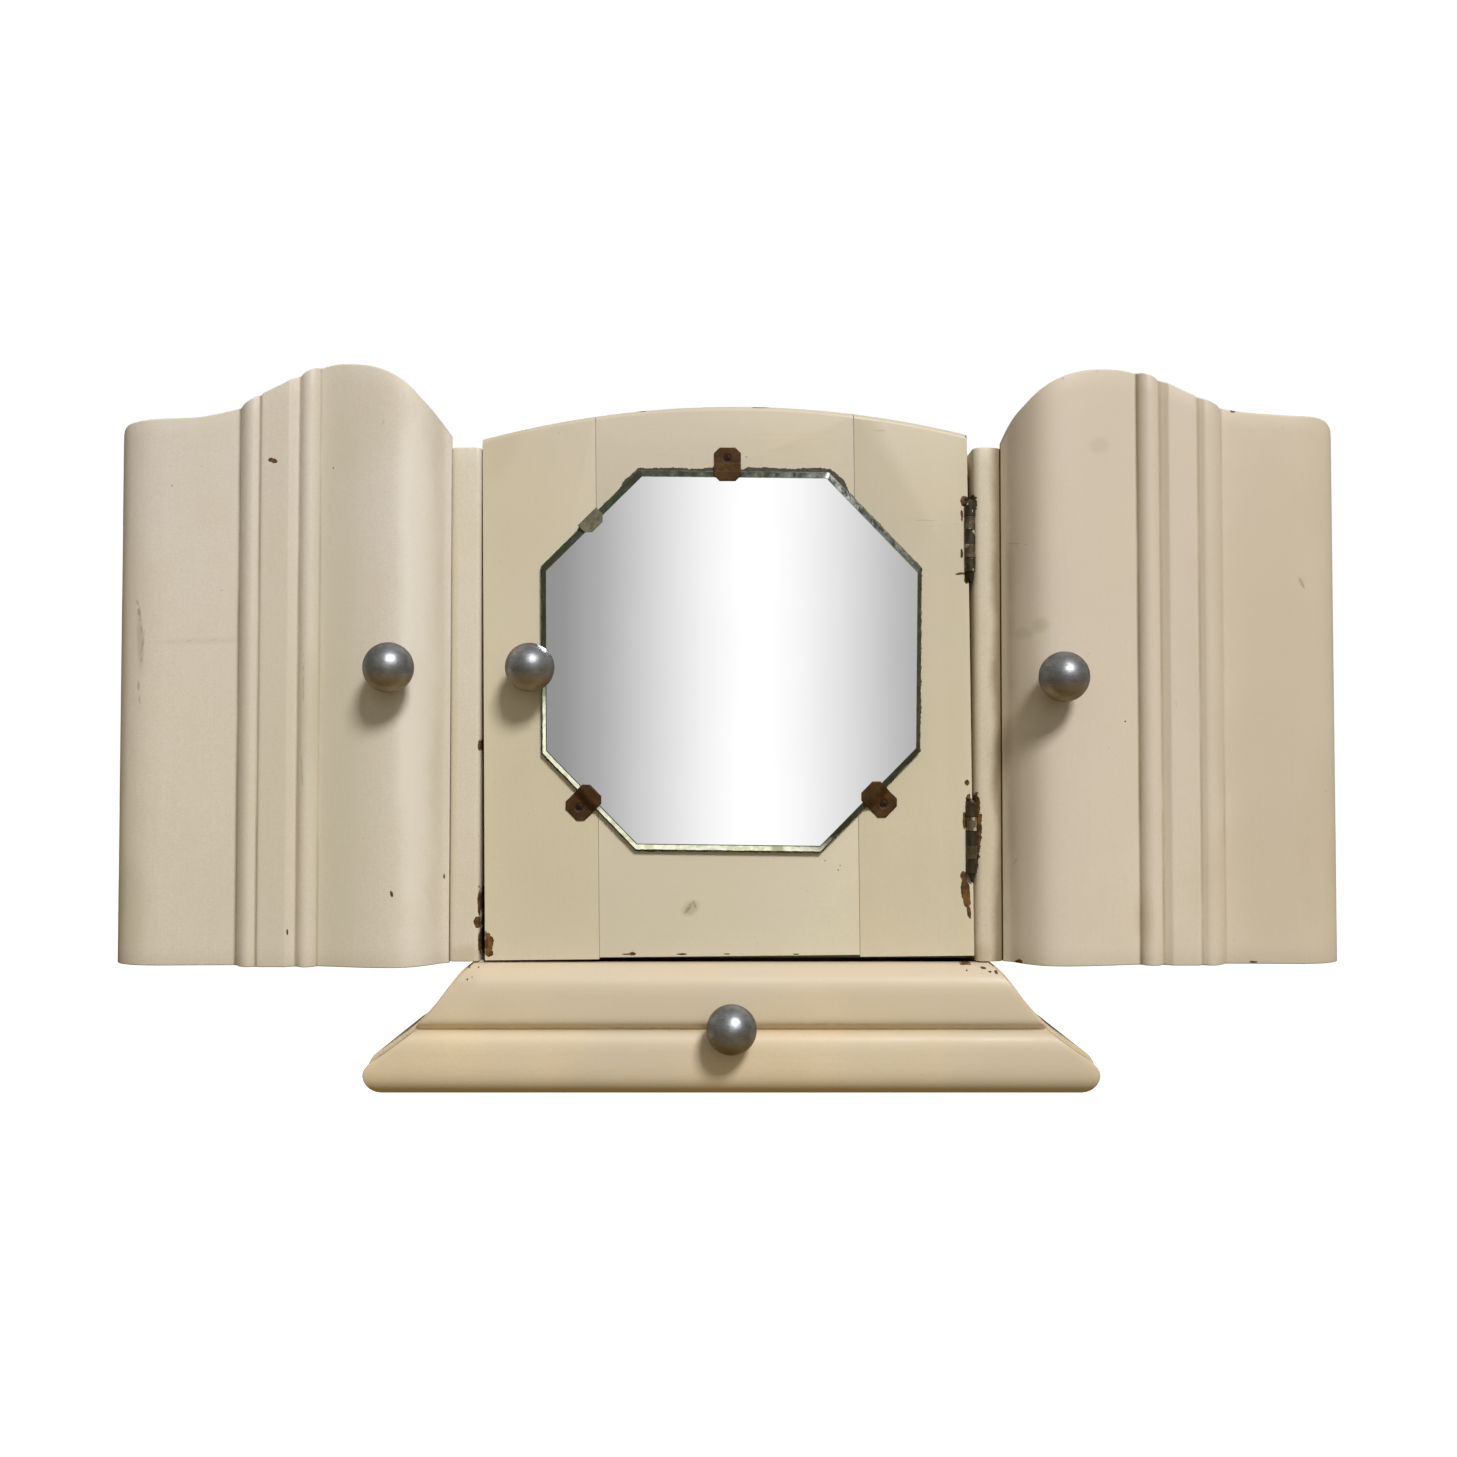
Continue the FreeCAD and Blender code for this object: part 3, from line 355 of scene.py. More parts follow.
    t.link(normal, t.bsdf.inputs["Normal"])
    t.bsdf.inputs["Specular IOR Level"].default_value = 0.42
    return t.mat


def bare_wood(name, a, b, axis="X", seed=0.0):
    t = Tree(name)
    s = {"X": (7.0, 70.0, 70.0), "Z": (70.0, 70.0, 7.0), "Y": (70.0, 7.0, 70.0)}[axis]
    warp = t.noise(vec=t.scaled((s[0] * 0.25, s[1] * 0.25, s[2] * 0.25), (seed, 0, 0)), detail=2)
    wv = t.t.nodes.new("ShaderNodeTexWave")
    wv.wave_type = "RINGS"
    wv.rings_direction = "SPHERICAL"
    wv.inputs["Scale"].default_value = 1.0
    wv.inputs["Distortion"].default_value = 6.0
    wv.inputs["Detail"].default_value = 3.0
    t.link(t.scaled((s[0] * 0.12, s[1] * 0.16, s[2] * 0.16), (seed + 0.4, 0.9, 0.3)), wv.inputs["Vector"])
    fibre = t.noise(vec=t.scaled(tuple(v * 9.0 for v in s), (seed, 1, 1)), detail=4, rough=0.65)
    col = t.mix(t.smooth(wv.outputs[1] if len(wv.outputs) > 1 else wv.outputs[0], 0.2, 0.9), a, b)
    col = t.mix(t.smooth(fibre, 0.4, 0.72, 0.0, 0.55), col, tuple(c * 0.55 for c in b[:3]) + (1.0,))
    col = t.mix(t.smooth(warp, 0.45, 0.75, 0.0, 0.35), col, tuple(c * 0.7 for c in a[:3]) + (1.0,))
    t.link(col, t.bsdf.inputs["Base Color"])
    t.link(t.smooth(fibre, 0.2, 0.8, 0.55, 0.78), t.bsdf.inputs["Roughness"])
    t.link(t.bump(fibre, 0.0003, 0.5), t.bsdf.inputs["Normal"])
    t.bsdf.inputs["Specular IOR Level"].default_value = 0.3
    return t.mat


def rust(name, light, mid, dark, shine=0.3, flecks=0.0, seed=0.0, spec=0.4):
    t = Tree(name)
    t.bsdf.inputs["Specular IOR Level"].default_value = spec
    a = t.noise(vec=t.scaled((180.0, 180.0, 180.0), (seed, 0, 0)), detail=6, rough=0.65)
    b = t.noise(vec=t.scaled((900.0, 900.0, 900.0), (seed, 3, 0)), detail=4)
    big = t.noise(vec=t.scaled((60.0, 60.0, 60.0), (seed, 5, 2)), detail=3)
    col = t.mix(t.smooth(a, 0.35, 0.65), lin(*mid), lin(*light))
    col = t.mix(t.smooth(big, 0.42, 0.64, 0.0, 0.6), col, lin(*mid))
    col = t.mix(t.smooth(b, 0.52, 0.70, 0.0, 0.6), col, lin(*dark))
    if flecks:
        m = t.smooth(t.noise(vec=t.scaled((240.0, 240.0, 200.0), (seed, 8, 8)), detail=4, rough=0.7), 0.66 - flecks, 0.69 - flecks)
        col = t.mix(m, col, lin(190, 178, 150))
    t.link(col, t.bsdf.inputs["Base Color"])
    t.link(t.smooth(a, 0.3, 0.7, 0.42, 0.70), t.bsdf.inputs["Roughness"])
    t.bsdf.inputs["Metallic"].default_value = shine
    n = t.bump(a, 0.0004, 0.5)
    t.link(t.bump(b, 0.0001, 0.6, n), t.bsdf.inputs["Normal"])
    return t.mat


def metal(name, col_a, col_b, r0, r1, seed=0.0, scratch=1.0):
    t = Tree(name)
    a = t.noise(vec=t.scaled((120.0, 120.0, 120.0), (seed, 0, 0)), detail=4, rough=0.6)
    fine = t.noise(vec=t.scaled((1500.0, 1500.0, 1500.0), (seed, 0, 0)), detail=2)
    scr = t.noise(vec=t.scaled((260.0, 260.0, 2600.0), (seed, 4, 0)), detail=3, rough=0.7)
    col = t.mix(t.smooth(a, 0.3, 0.7), col_a, col_b)
    pits = t.smooth(t.noise(vec=t.scaled((700.0, 700.0, 700.0), (seed, 9, 1)), detail=3, rough=0.7), 0.66, 0.74)
    col = t.mix(t.math("MULTIPLY", pits, 0.7), col, tuple(c * 0.35 for c in col_b[:3]) + (1.0,))
    t.link(col, t.bsdf.inputs["Base Color"])
    t.bsdf.inputs["Metallic"].default_value = 1.0
    t.link(t.math("ADD", t.smooth(a, 0.3, 0.7, r0, r1), t.math("MULTIPLY", scr, 0.08)), t.bsdf.inputs["Roughness"])
    n = t.bump(scr, 0.00006, 0.5 * scratch)
    t.link(t.bump(fine, 0.00003, 0.4, n), t.bsdf.inputs["Normal"])
    return t.mat


def ball_metal(name, seed=0.0):
    """Old soft-sheened aluminium, cloudy and finely scratched; the lower-facing side is painted warm and less
    metallic, a painted reflection.
    """
    t = Tree(name)
    cloud = t.noise(vec=t.scaled((95.0, 95.0, 95.0), (seed, 0, 0)), detail=5, rough=0.62)
    speck = t.noise(vec=t.scaled((900.0, 900.0, 900.0), (seed, 3, 0)), detail=3, rough=0.7)
    brushed = t.noise(vec=t.scaled((160.0, 160.0, 1500.0), (seed, 4, 0)), detail=4, rough=0.7)
    col = t.mix(t.smooth(cloud, 0.34, 0.66), lin(166, 169, 174), lin(130, 133, 138))
    col = t.mix(t.smooth(brushed, 0.44, 0.70, 0.0, 0.35), col, lin(96, 96, 98))
    col = t.mix(t.smooth(speck, 0.60, 0.72, 0.0, 0.55), col, lin(66, 62, 56))
    geo = t.t.nodes.new("ShaderNodeNewGeometry")
    gs = t.t.nodes.new("ShaderNodeSeparateXYZ")
    t.link(geo.outputs["Normal"], gs.inputs[0])
    # painted reflection: lower-facing side turned warm and less metallic
    painted_reflection_below = t.smooth(t.math("ADD", gs.outputs[2], t.math("MULTIPLY", t.math("SUBTRACT", cloud, 0.5), 0.20)), -0.55, -0.05, 1.0, 0.0)
    col = t.mix(t.math("MULTIPLY", painted_reflection_below, 0.68), col, lin(150, 132, 97))
    t.link(col, t.bsdf.inputs["Base Color"])
    t.link(t.math("ADD", 0.93, t.math("MULTIPLY", painted_reflection_below, -0.34)), t.bsdf.inputs["Metallic"])
    t.bsdf.inputs["Specular Tint"].default_value = (0.42, 0.41, 0.40, 1.0)
    t.link(t.math("ADD", t.smooth(cloud, 0.3, 0.7, 0.30, 0.42), t.math("MULTIPLY", brushed, 0.10)), t.bsdf.inputs["Roughness"])
    n = t.bump(brushed, 0.00010, 0.5)
    n = t.bump(cloud, 0.0005, 0.30, n)
    t.link(t.bump(speck, 0.00008, 0.5, n), t.bsdf.inputs["Normal"])
    return t.mat


# =====================================================================  mesh helpers
def make(name, verts, faces, mats, body, replaces=(), slot="painted_wood", angle=32.0, face_mats=None, uv=False):
    me = bpy.data.meshes.new(name)
    me.from_pydata([(v[0] * MM, v[1] * MM, v[2] * MM) for v in verts], [], faces)
    bm = bmesh.new()
    bm.from_mesh(me)
    if face_mats:
        bm.faces.ensure_lookup_table()
        for f, i in zip(bm.faces, face_mats):
            f.material_index = i
    bmesh.ops.remove_doubles(bm, verts=bm.verts, dist=1e-6)
    bmesh.ops.recalc_face_normals(bm, faces=bm.faces)
    bm.to_mesh(me)
    bm.free()
    me.shade_smooth()
    me.set_sharp_from_angle(angle=math.radians(angle))
    ob = bpy.data.objects.new(name, me)
    scene.collection.objects.link(ob)
    for m in mats:
        me.materials.append(m)
    return ob


def place(ob, body, nodes):
    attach(ob, body)
    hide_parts(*nodes)


def cutter_box(x0, x1, y0, y1, z0, z1):
    v = [(x, y, z) for x in (x0, x1) for y in (y0, y1) for z in (z0, z1)]
    f = [(0, 1, 3, 2), (4, 6, 7, 5), (0, 4, 5, 1), (2, 3, 7, 6), (0, 2, 6, 4), (1, 5, 7, 3)]
    return v, f


def cutter_cyl(cx, cy, r, z0, z1, n=40, axis="Z"):
    v, f = [], []
    for z in (z0, z1):
        for i in range(n):
            a = 2 * math.pi * i / n
            if axis == "Z":
                v.append((cx + r * math.cos(a), cy + r * math.sin(a), z))
            else:
                v.append((cx + r * math.cos(a), z, cy + r * math.sin(a)))
    for i in range(n):
        j = (i + 1) % n
        f.append((i, j, n + j, n + i))
    f.append(tuple(range(n))[::-1])
    f.append(tuple(range(n, 2 * n)))
    return v, f


def carve(ob, cutters, angle=32.0):
    if not cutters:
        return
    tools = []
    for v, f in cutters:
        c = make("cut", v, f, [], None)
        tools.append(c)
    bpy.context.view_layer.update()
    for c in tools:
        m = ob.modifiers.new("cut", "BOOLEAN")
        m.operation = "DIFFERENCE"
        m.solver = "EXACT"
        m.object = c
    dg = bpy.context.evaluated_depsgraph_get()
    new = bpy.data.meshes.new_from_object(ob.evaluated_get(dg))
    old = ob.data
    ob.modifiers.clear()
    ob.data = new
    new.name = old.name + "_cut"
    new.shade_smooth()
    new.set_sharp_from_angle(angle=math.radians(angle))
    for c in tools:
        bpy.data.objects.remove(c, do_unlink=True)


def natural(pts, n):
    """Points along a natural cubic spline through 2-D pts, chord-length parameter."""
    t = [0.0]
    for a, b in zip(pts[:-1], pts[1:]):
        t.append(t[-1] + math.hypot(b[0] - a[0], b[1] - a[1]))
    cols = []
    m = len(pts)
    for k in range(2):
        y = [p[k] for p in pts]
        h = [t[i + 1] - t[i] for i in range(m - 1)]
        al = [0.0] * m
        for i in range(1, m - 1):
            al[i] = 3.0 * ((y[i + 1] - y[i]) / h[i] - (y[i] - y[i - 1]) / h[i - 1])
        l, mu, z = [1.0] * m, [0.0] * m, [0.0] * m
        for i in range(1, m - 1):
            l[i] = 2.0 * (t[i + 1] - t[i - 1]) - h[i - 1] * mu[i - 1]
            mu[i] = h[i] / l[i]
            z[i] = (al[i] - h[i - 1] * z[i - 1]) / l[i]
        c = [0.0] * m
        for i in range(m - 2, -1, -1):
            c[i] = z[i] - mu[i] * c[i + 1]
        cols.append((y, h, c))
    out = []
    for q in range(n + 1):
        s = t[-1] * q / n
        i = 0
        while i < m - 2 and s > t[i + 1]:
            i += 1
        r = []
        for y, h, c in cols:
            b = (y[i + 1] - y[i]) / h[i] - h[i] * (c[i + 1] + 2 * c[i]) / 3.0
            d = (c[i + 1] - c[i]) / (3.0 * h[i])
            w = s - t[i]
            r.append(y[i] + b * w + c[i] * w * w + d * w ** 3)
        out.append(tuple(r))
    return out


def arc3(a, b, c, n):
    ax, ay, bx, by, cx, cy = *a, *b, *c
    d = 2 * (ax * (by - cy) + bx * (cy - ay) + cx * (ay - by))
    ux = ((ax * ax + ay * ay) * (by - cy) + (bx * bx + by * by) * (cy - ay) + (cx * cx + cy * cy) * (ay - by)) / d
    uy = ((ax * ax + ay * ay) * (cx - bx) + (bx * bx + by * by) * (ax - cx) + (cx * cx + cy * cy) * (bx - ax)) / d
    r = math.hypot(ax - ux, ay - uy)
    a0, a1, a2 = (math.atan2(p[1] - uy, p[0] - ux) for p in (a, b, c))
    while a1 > a0:
        a1 -= 2 * math.pi
    while a2 > a1:
        a2 -= 2 * math.pi
    if a2 < a0 - 2 * math.pi:
        a2 += 2 * math.pi
    return [(ux + r * math.cos(a0 + (a2 - a0) * i / n), uy + r * math.sin(a0 + (a2 - a0) * i / n)) for i in range(n + 1)]


def interp(x, xs, ys):
    if x <= xs[0]:
        return ys[0]
    if x >= xs[-1]:
        return ys[-1]
    lo, hi = 0, len(xs) - 1
    while hi - lo > 1:
        mid = (lo + hi) // 2
        if xs[mid] <= x:
            lo = mid
        else:
            hi = mid
    k = (x - xs[lo]) / max(1e-9, xs[hi] - xs[lo])
    return ys[lo] + (ys[hi] - ys[lo]) * k


def height_field(profile, width, step, soften):
    """Resample a height profile, finer where it turns, and soften its arrises. Returns us, hs, normals."""
    xs = [p[0] for p in profile]
    ys = [p[1] for p in profile]
    n = int(width / 0.1)
    u = [width * i / n for i in range(n + 1)]
    h = [interp(v, xs, ys) for v in u]
    # light smoothing over +-soften
    k = max(1, int(soften / 0.1))
    for _ in range(2):
        pre = [0.0]
        for v in h:
            pre.append(pre[-1] + v)
        g = []
        for i in range(len(h)):
            a, b = max(0, i - k), min(len(h), i + k + 1)
            w = min(i - a, b - 1 - i)
            a, b = i - w, i + w + 1
            g.append((pre[b] - pre[a]) / (b - a))
        h = g
    # adaptive pick
    us, hs = [0.0], [h[0]]
    last = 0
    for i in range(1, len(u)):
        du = u[i] - u[last]
        turn = 0.0
        if i + 1 < len(u) and i > last:
            s0 = (h[last + 1] - h[last]) / 0.1 if last + 1 < len(u) else 0
            s1 = (h[i] - h[i - 1]) / 0.1
            turn = abs(math.atan(s1) - math.atan(s0))
        if du >= step or turn > math.radians(7.0) and du >= 0.15 or i == len(u) - 1:
            us.append(u[i])
            hs.append(h[i])
            last = i
    nr = []
    for i in range(len(us)):
        a, b = max(0, i - 1), min(len(us) - 1, i + 1)
        s = (hs[b] - hs[a]) / max(1e-6, us[b] - us[a])
        m = math.hypot(s, 1.0)
        nr.append((-s / m, 1.0 / m))
    return us, hs, nr


# =====================================================================  the design's numbers (mm)
SIDE_BACK = -126.3
SIDE_W = 192.4
BULGE = [(0, 3.2), (3, 5.2), (6.4, 10.5), (9.8, 15.5), (13.2, 19.5), (17, 22.8),
         (22, 25.2), (28, 26.2), (36, 26.0), (45, 24.6), (54, 22.7), (63, 20.4), (71.6, 18.2)]
INNER_BEAD = [(72.3, 18.2), (78.5, 23.4), (84.3, 19.6)]
BAND = [(85.2, 19.4), (89.4, 22.4), (104.6, 22.2), (105.3, 20.4), (106.0, 20.6)]
OUTER_BEAD = [(106.0, 20.6), (108.6, 22.2), (112.2, 22.2), (116.0, 20.2), (118.8, 17.2), (120.6, 14.2)]
FLAT = [(121.5, 13.6), (163.4, 15.2)]
ROUNDING = [(163.4, 15.2), (170.0, 14.9), (176.0, 13.8), (182.0, 11.4), (187.0, 8.0), (190.4, 4.2), (192.4, 0.0)]
TOP_L = [(-352.9, 34.0), (-352.4, 39.0), (-349.5, 43.2), (-343.0, 44.9), (-333.5, 45.7), (-315.9, 46.6),
         (-302.3, 47.6), (-288.7, 50.4), (-276.0, 54.0), (-262.0, 60.6), (-249.0, 67.0), (-235.5, 73.3),
         (-225.0, 75.9), (-213.8, 75.7), (-203.0, 74.2), (-192.5, 70.7), (-182.0, 64.4), (-173.4, 55.7),
         (-166.4, 47.0), (-160.5, 38.8)]
TOP_R = [(353.6, 33.0), (353.2, 39.0), (350.0, 44.3), (343.5, 46.9), (330.0, 47.7), (316.2, 48.5),
         (302.6, 49.7), (289.0, 51.6), (277.0, 54.4), (265.5, 58.6), (252.2, 64.8), (241.0, 69.6),
         (229.0, 72.4), (217.7, 72.8), (203.3, 71.3), (189.4, 67.0), (179.5, 61.6), (170.7, 53.7),
         (164.4, 44.4), (159.7, 34.6)]
OGEE = [(148.5, -267.0), (153.2, -271.0), (156.4, -274.4), (159.2, -277.6), (164.1, -284.1), (169.0, -290.9),
        (174.9, -297.7), (181.3, -304.6), (188.7, -310.5), (198.1, -317.4), (205.2, -322.6), (207.9, -327.3),
        (207.8, -330.8), (206.2, -335.0), (202.6, -339.0), (196.0, -341.0)]
DRAWER_FACE = [(-267.0, 5.5), (-268.6, 9.6), (-271.0, 13.0), (-274.4, 15.9), (-279.0, 17.5), (-286.0, 18.2),
               (-295.0, 18.4), (-299.6, 17.6), (-302.2, 14.6)]
DRAWER_QUIRK = [(-303.4, 12.6), (-304.2, 13.2)]
DRAWER_LOBE = [(-304.2, 16.2), (-306.4, 19.6), (-311.0, 21.6), (-318.0, 22.3), (-326.0, 22.3), (-332.2, 20.9),
               (-336.6, 17.6), (-339.6, 12.4), (-341.0, 6.0)]
DRAWER_X = 2.65
DRAWER_BACKPLANE = -126.5
DOOR_L, DOOR_R, DOOR_BOT, DOOR_PIVOT_Z, SAG = -141.1, 141.6, -263.3, -118.0, 0.55
DOOR_FRONT, DOOR_BACK = -129.0, -111.0
ARCH_R, ARCH_X, ARCH_TOP = 565.0, 4.3, 56.6
STILE_L, STILE_R, RAIL_TOP_Z, RAIL_BOT_Z, RAIL_SHORT = -75.0, 75.6, -9.0, -174.0, 1.0
HINGE_X, HINGE_Y, HINGE_Z, HINGE_LEN = 141.6, -130.0, [-20.6, -195.3], 40.5
SIDE_HINGE_X, SIDE_HINGE_Y, SIDE_HINGE_Z, SIDE_HINGE_LEN = 350.2, -126.15, [-35.0, -198.0], 40.0
PART_IN, PART_OUT = 143.6, 159.2
KNOBS = {"left": (-187.1, -99.5, SIDE_BACK - 26.2 + 0.4), "mirror": (-112.0, -97.7, DOOR_FRONT),
         "right": (186.6, -104.6, SIDE_BACK - 26.2 + 0.4), "drawer": (2.7, -300.3, DRAWER_BACKPLANE - 16.0)}


def sag(x, z):
    a = math.radians(SAG)
    dx, dz = x - DOOR_R, z - DOOR_PIVOT_Z
    return DOOR_R + dx * math.cos(a) - dz * math.sin(a), DOOR_PIVOT_Z + dx * math.sin(a) + dz * math.cos(a)


# =====================================================================  materials
def L(u):
    return -160.5 - u


def R(u):
    return 159.7 + u


# painted shade down the bead flanks and creases of the side-door mouldings: (x, width, strength)
crease_shade_l = [(L(71.7), 1.0, 0.45), (L(83.7), 1.3, 0.50), (L(106.1), 1.2, 0.60), (L(119.7), 1.7, 0.62)]
crease_shade_r = [(R(75.0), 1.4, 0.62), (R(87.8), 1.4, 0.55), (R(109.4), 1.3, 0.50), (R(124.9), 1.4, 0.34)]
paint_left = paint("paint_left_door", (220, 213, 203), (225, 215, 198), seed=1.0, lines=crease_shade_l,
    chips=[(-258.7, 20.2, 2.3, 1.3, -12), (-224.8, 16.4, 0.45, 0.45), (-188.5, -225.9, 0.7, 1.6, 12), (-248.2, -247.6, 0.4, 1.5),
           (-163.0, -217.6, 0.5, 1.4)],
    stains_and_painted_light=[(-336.5, -82, 2.2, 15, 4, 0.35, (150, 137, 112)), (-215, -150, 60, 90, 0, 0.16, (204, 197, 165)),
            (-343, -240, 10, 30, 0, 0.20, (176, 158, 122)), (-236, -118, 3, 34, 0, 0.18, (168, 156, 126)), (-300, -82, 26, 1.6, 2, 0.14, (176, 163, 138)),
            (-262, 66, 14, 3, 20, 0.2, (190, 172, 132)), (-205, 40, 26, 20, 30, 0.14, (190, 180, 146)), (-168, -60, 4, 130, 0, 0.25, (200, 190, 160)),
            # painted shade: a darker band down the bulge's slope that faces away from the light, and one down the
            # outer rounding
            (-222, -110, 15, 210, 0, 0.42, (203, 196, 172)), (-351, -110, 5, 220, 0, 0.45, (176, 162, 136)),
            # painted highlight: a paler band down the bulge's side that faces the light; the last entry darkens the
            # raised band a little
            (-177, -110, 8, 230, 0, 0.45, (238, 232, 220)), (-257, -110, 12, 230, 0, 0.25, (196, 184, 162))],
    scratches=[(-337.5, -66, 1.0, 11, 10, 0.55), (-335.5, -88, 0.8, 9, -8, 0.5), (-337, -112, 0.8, 8, 4, 0.45), (-306, -82, 14, 0.5, 3, 0.16),
               (-240, -104, 0.5, 12, 0, 0.35), (-196, 40, 0.5, 3, -30, 0.35), (-240.4, -158, 0.5, 10, 3, 0.3)])
paint_right = paint("paint_right_door", (208, 196, 181), (225, 214, 196), seed=2.0, lines=crease_shade_r,
    chips=[(291.4, 50.9, 1.5, 0.9, -10), (167.0, -265.6, 1.9, 1.1, 20), (300.0, -265.4, 2.2, 0.5, 0), (226.5, -128.5, 0.35, 0.4)],
    stains_and_painted_light=[(212, 28.6, 5, 4, 10, 0.25, (170, 158, 128)), (178, -74, 4, 4, 0, 0.34, (158, 150, 118)), (170, -78, 4, 3, 0, 0.25, (162, 152, 120)),
            (329.5, -48, 2, 3, 20, 0.4, (158, 142, 110)), (236, -240, 5, 14, 0, 0.22, (168, 146, 104)), (340, -200, 10, 60, 0, 0.16, (186, 168, 128)),
            (300, -220, 40, 40, 0, 0.12, (196, 178, 138)), (318, -110, 40, 240, 0, 0.50, (197, 182, 158)),
            # painted shade: a dark brown band down the door's inner edge, in the groove beside the upright
            (160, -110, 4.0, 200, 0, 0.50, (140, 120, 82))],
    scratches=[(190, 7, 6, 0.35, 12, 0.18), (168, -26, 5, 0.35, -16, 0.3), (330, -50, 0.8, 3.5, 20, 0.5), (166, -208, 0.5, 2.5, -30, 0.5),
               (254.5, -112, 0.5, 8, 3, 0.4), (284, -190, 0.5, 9, 0, 0.25)])
paint_strip_l = paint("paint_strip_left", (222, 215, 200), (223, 212, 192), seed=3.0, brush="Z",
    chips=[(-143.4, -141.6, 0.9, 3.0), (-143.3, -232.0, 0.7, 8.0), (-144.0, -243.9, 1.7, 3.4), (-142.9, -255.0, 0.7, 7.0)],
    # the second stain is painted shade down the edge beside the left door
    stains_and_painted_light=[(-150, -262, 8, 5, 0, 0.25, (170, 150, 110)), (-158.5, -110, 2.2, 160, 0, 0.25, (186, 174, 144))])
paint_strip_r = paint("paint_strip_right", (211, 202, 183), (215, 203, 180), seed=4.0, brush="Z",
    chips=[(143.6, -2.4, 2.0, 7.2), (143.4, -19.0, 1.0, 3.0), (144.2, -178.0, 2.4, 8.0, 0, 0.8), (145.2, -192.0, 2.0, 13.0, 0, 0.8), (143.8, -209.0, 1.6, 5.0), (146.4, -184.0, 1.2, 3.0)],
    # the second stain is painted shade in the groove beside the right door
    stains_and_painted_light=[(147, -262, 5, 5, 0, 0.3, (170, 150, 110)), (160.6, -110, 6.0, 600, 0, 0.80, (122, 102, 68))])
paint_door = paint("paint_mirror_door", (202, 192, 175), (227, 217, 190), seed=6.0, green=0.16, ring=True, brush="Z",
    chips=[(-138.5, -251.5, 2.0, 3.2), (-137.6, -256.8, 2.9, 5.4), (-138.2, -261.6, 1.6, 2.4), (140.2, 38.2, 1.2, 1.0), (140.8, 32.0, 0.5, 1.4),
           (138.3, -227.5, 2.5, 8.6, 8, 0.5), (137.2, -218.0, 1.9, 3.6, 10, 0.6), (139.9, -237.5, 1.1, 4.0, 8, 0.6), (139.2, -163.6, 1.3, 1.5), (138.6, 1.0, 2.2, 2.8), (137.0, -8.0, 0.7, 3.0),
           (136.8, -30.0, 0.6, 2.4), (138.8, -41.9, 4.4, 0.9), (139.6, -44.6, 1.5, 3.4), (140.0, -173.0, 1.4, 3.0), (137.6, -185.0, 0.9, 5.0),
           (64.4, -213.9, 0.35, 0.4), (62.6, -212.0, 0.3, 0.3)],
    stains_and_painted_light=[(-100, -180, 30, 60, 0, 0.12, (190, 180, 140)), (120, 10, 20, 30, 0, 0.12, (190, 180, 146)), (-132, 36, 10, 18, -20, 0.2, (184, 168, 132)),
            (-120, 0, 20, 40, 0, 0.12, (188, 176, 140)), (133, -90, 7, 150, 0, 0.12, (190, 178, 142))],
    scratches=[(112, -10.5, 11, 0.35, -2, 0.25), (126, -13.5, 8, 0.3, 4, 0.2), (90, 42, 4, 0.4, 0, 0.3)])
paint_rail = paint("paint_door_rails", (202, 191, 177), (229, 221, 197), seed=6.0, green=0.16, ring=True, brush="X",
    chips=[(-26.0, -262.4, 3.0, 0.45), (-54.7, -262.2, 2.0, 0.9), (-57.0, -262.4, 5.0, 0.4), (0.0, -262.3, 2.0, 0.35), (40.0, -262.4, 1.6, 0.3),
           (64.4, -213.9, 0.45, 0.5), (65.6, -211.4, 0.4, 0.4), (20.0, 55.9, 5.0, 0.35, 0), (-50.0, 53.5, 3.0, 0.3, 5), (89.4, 49.0, 3.0, 0.3, -10)],
    stains_and_painted_light=[(-21, -236, 5.0, 3.6, 40, 0.55, (168, 160, 126)), (30, 35, 30, 10, 0, 0.12, (198, 184, 150))],
    scratches=[(-22, -236, 1.0, 4.5, -35, 0.6), (-18.5, -234, 0.7, 3.5, 20, 0.5)])
paint_drawer = paint("paint_drawer", (209, 198, 178), (235, 215, 180), seed=7.0, brush="X", z_range=(-0.33, -0.275),
    chips=[(137.1, -267.4, 3.4, 0.5, 0), (146.5, -269.2, 1.6, 0.6, -10), (153.6, -271.4, 1.0, 0.9, -40), (150.2, -271.0, 0.9, 0.5), (-93.0, -339.4, 1.2, 0.7),
           (-149.6, -269.4, 0.9, 0.8), (-147.2, -268.9, 0.45, 0.5), (-142.0, -268.8, 0.45, 0.45), (-144.8, -273.9, 0.35, 0.4), (-147.4, -274.9, 0.55, 0.5),
           (2.0, -340.8, 60.0, 0.18), (137.0, -270.4, 0.5, 0.4)],
    # the third stain is painted shade along the quirk groove
    stains_and_painted_light=[(-150, -274, 8, 5, 0, 0.2, (176, 158, 122)), (120, -290, 60, 14, 0, 0.12, (206, 188, 146)), (0, -303.8, 220, 0.7, 0, 0.35, (168, 144, 96)),
            # warm tone and painted light: a pale band lifting the shaded under-facing bottom edge
            (0, -339.0, 230, 3.2, 0, 0.50, (232, 192, 126))],
    scratches=[(60, -300, 30, 0.4, 0, 0.25), (-60, -302.6, 60, 0.4, 0, 0.25)])
paint_case = paint("paint_case", (222, 211, 188), (216, 202, 170), seed=8.0, brush="X")
paint_case_v = paint("paint_case_upright", (222, 211, 188), (216, 202, 170), seed=9.0, brush="Z")
paint_in = paint("paint_inside", (214, 200, 168), (206, 190, 150), seed=10.0, brush="X",
    stains_and_painted_light=[(0, -130, 200, 20, 0, 0.2, (170, 150, 110)), (-60, -250, 60, 12, 0, 0.2, (160, 140, 100))])
pine = bare_wood("pine", lin(188, 156, 112), lin(166, 128, 84), "X")
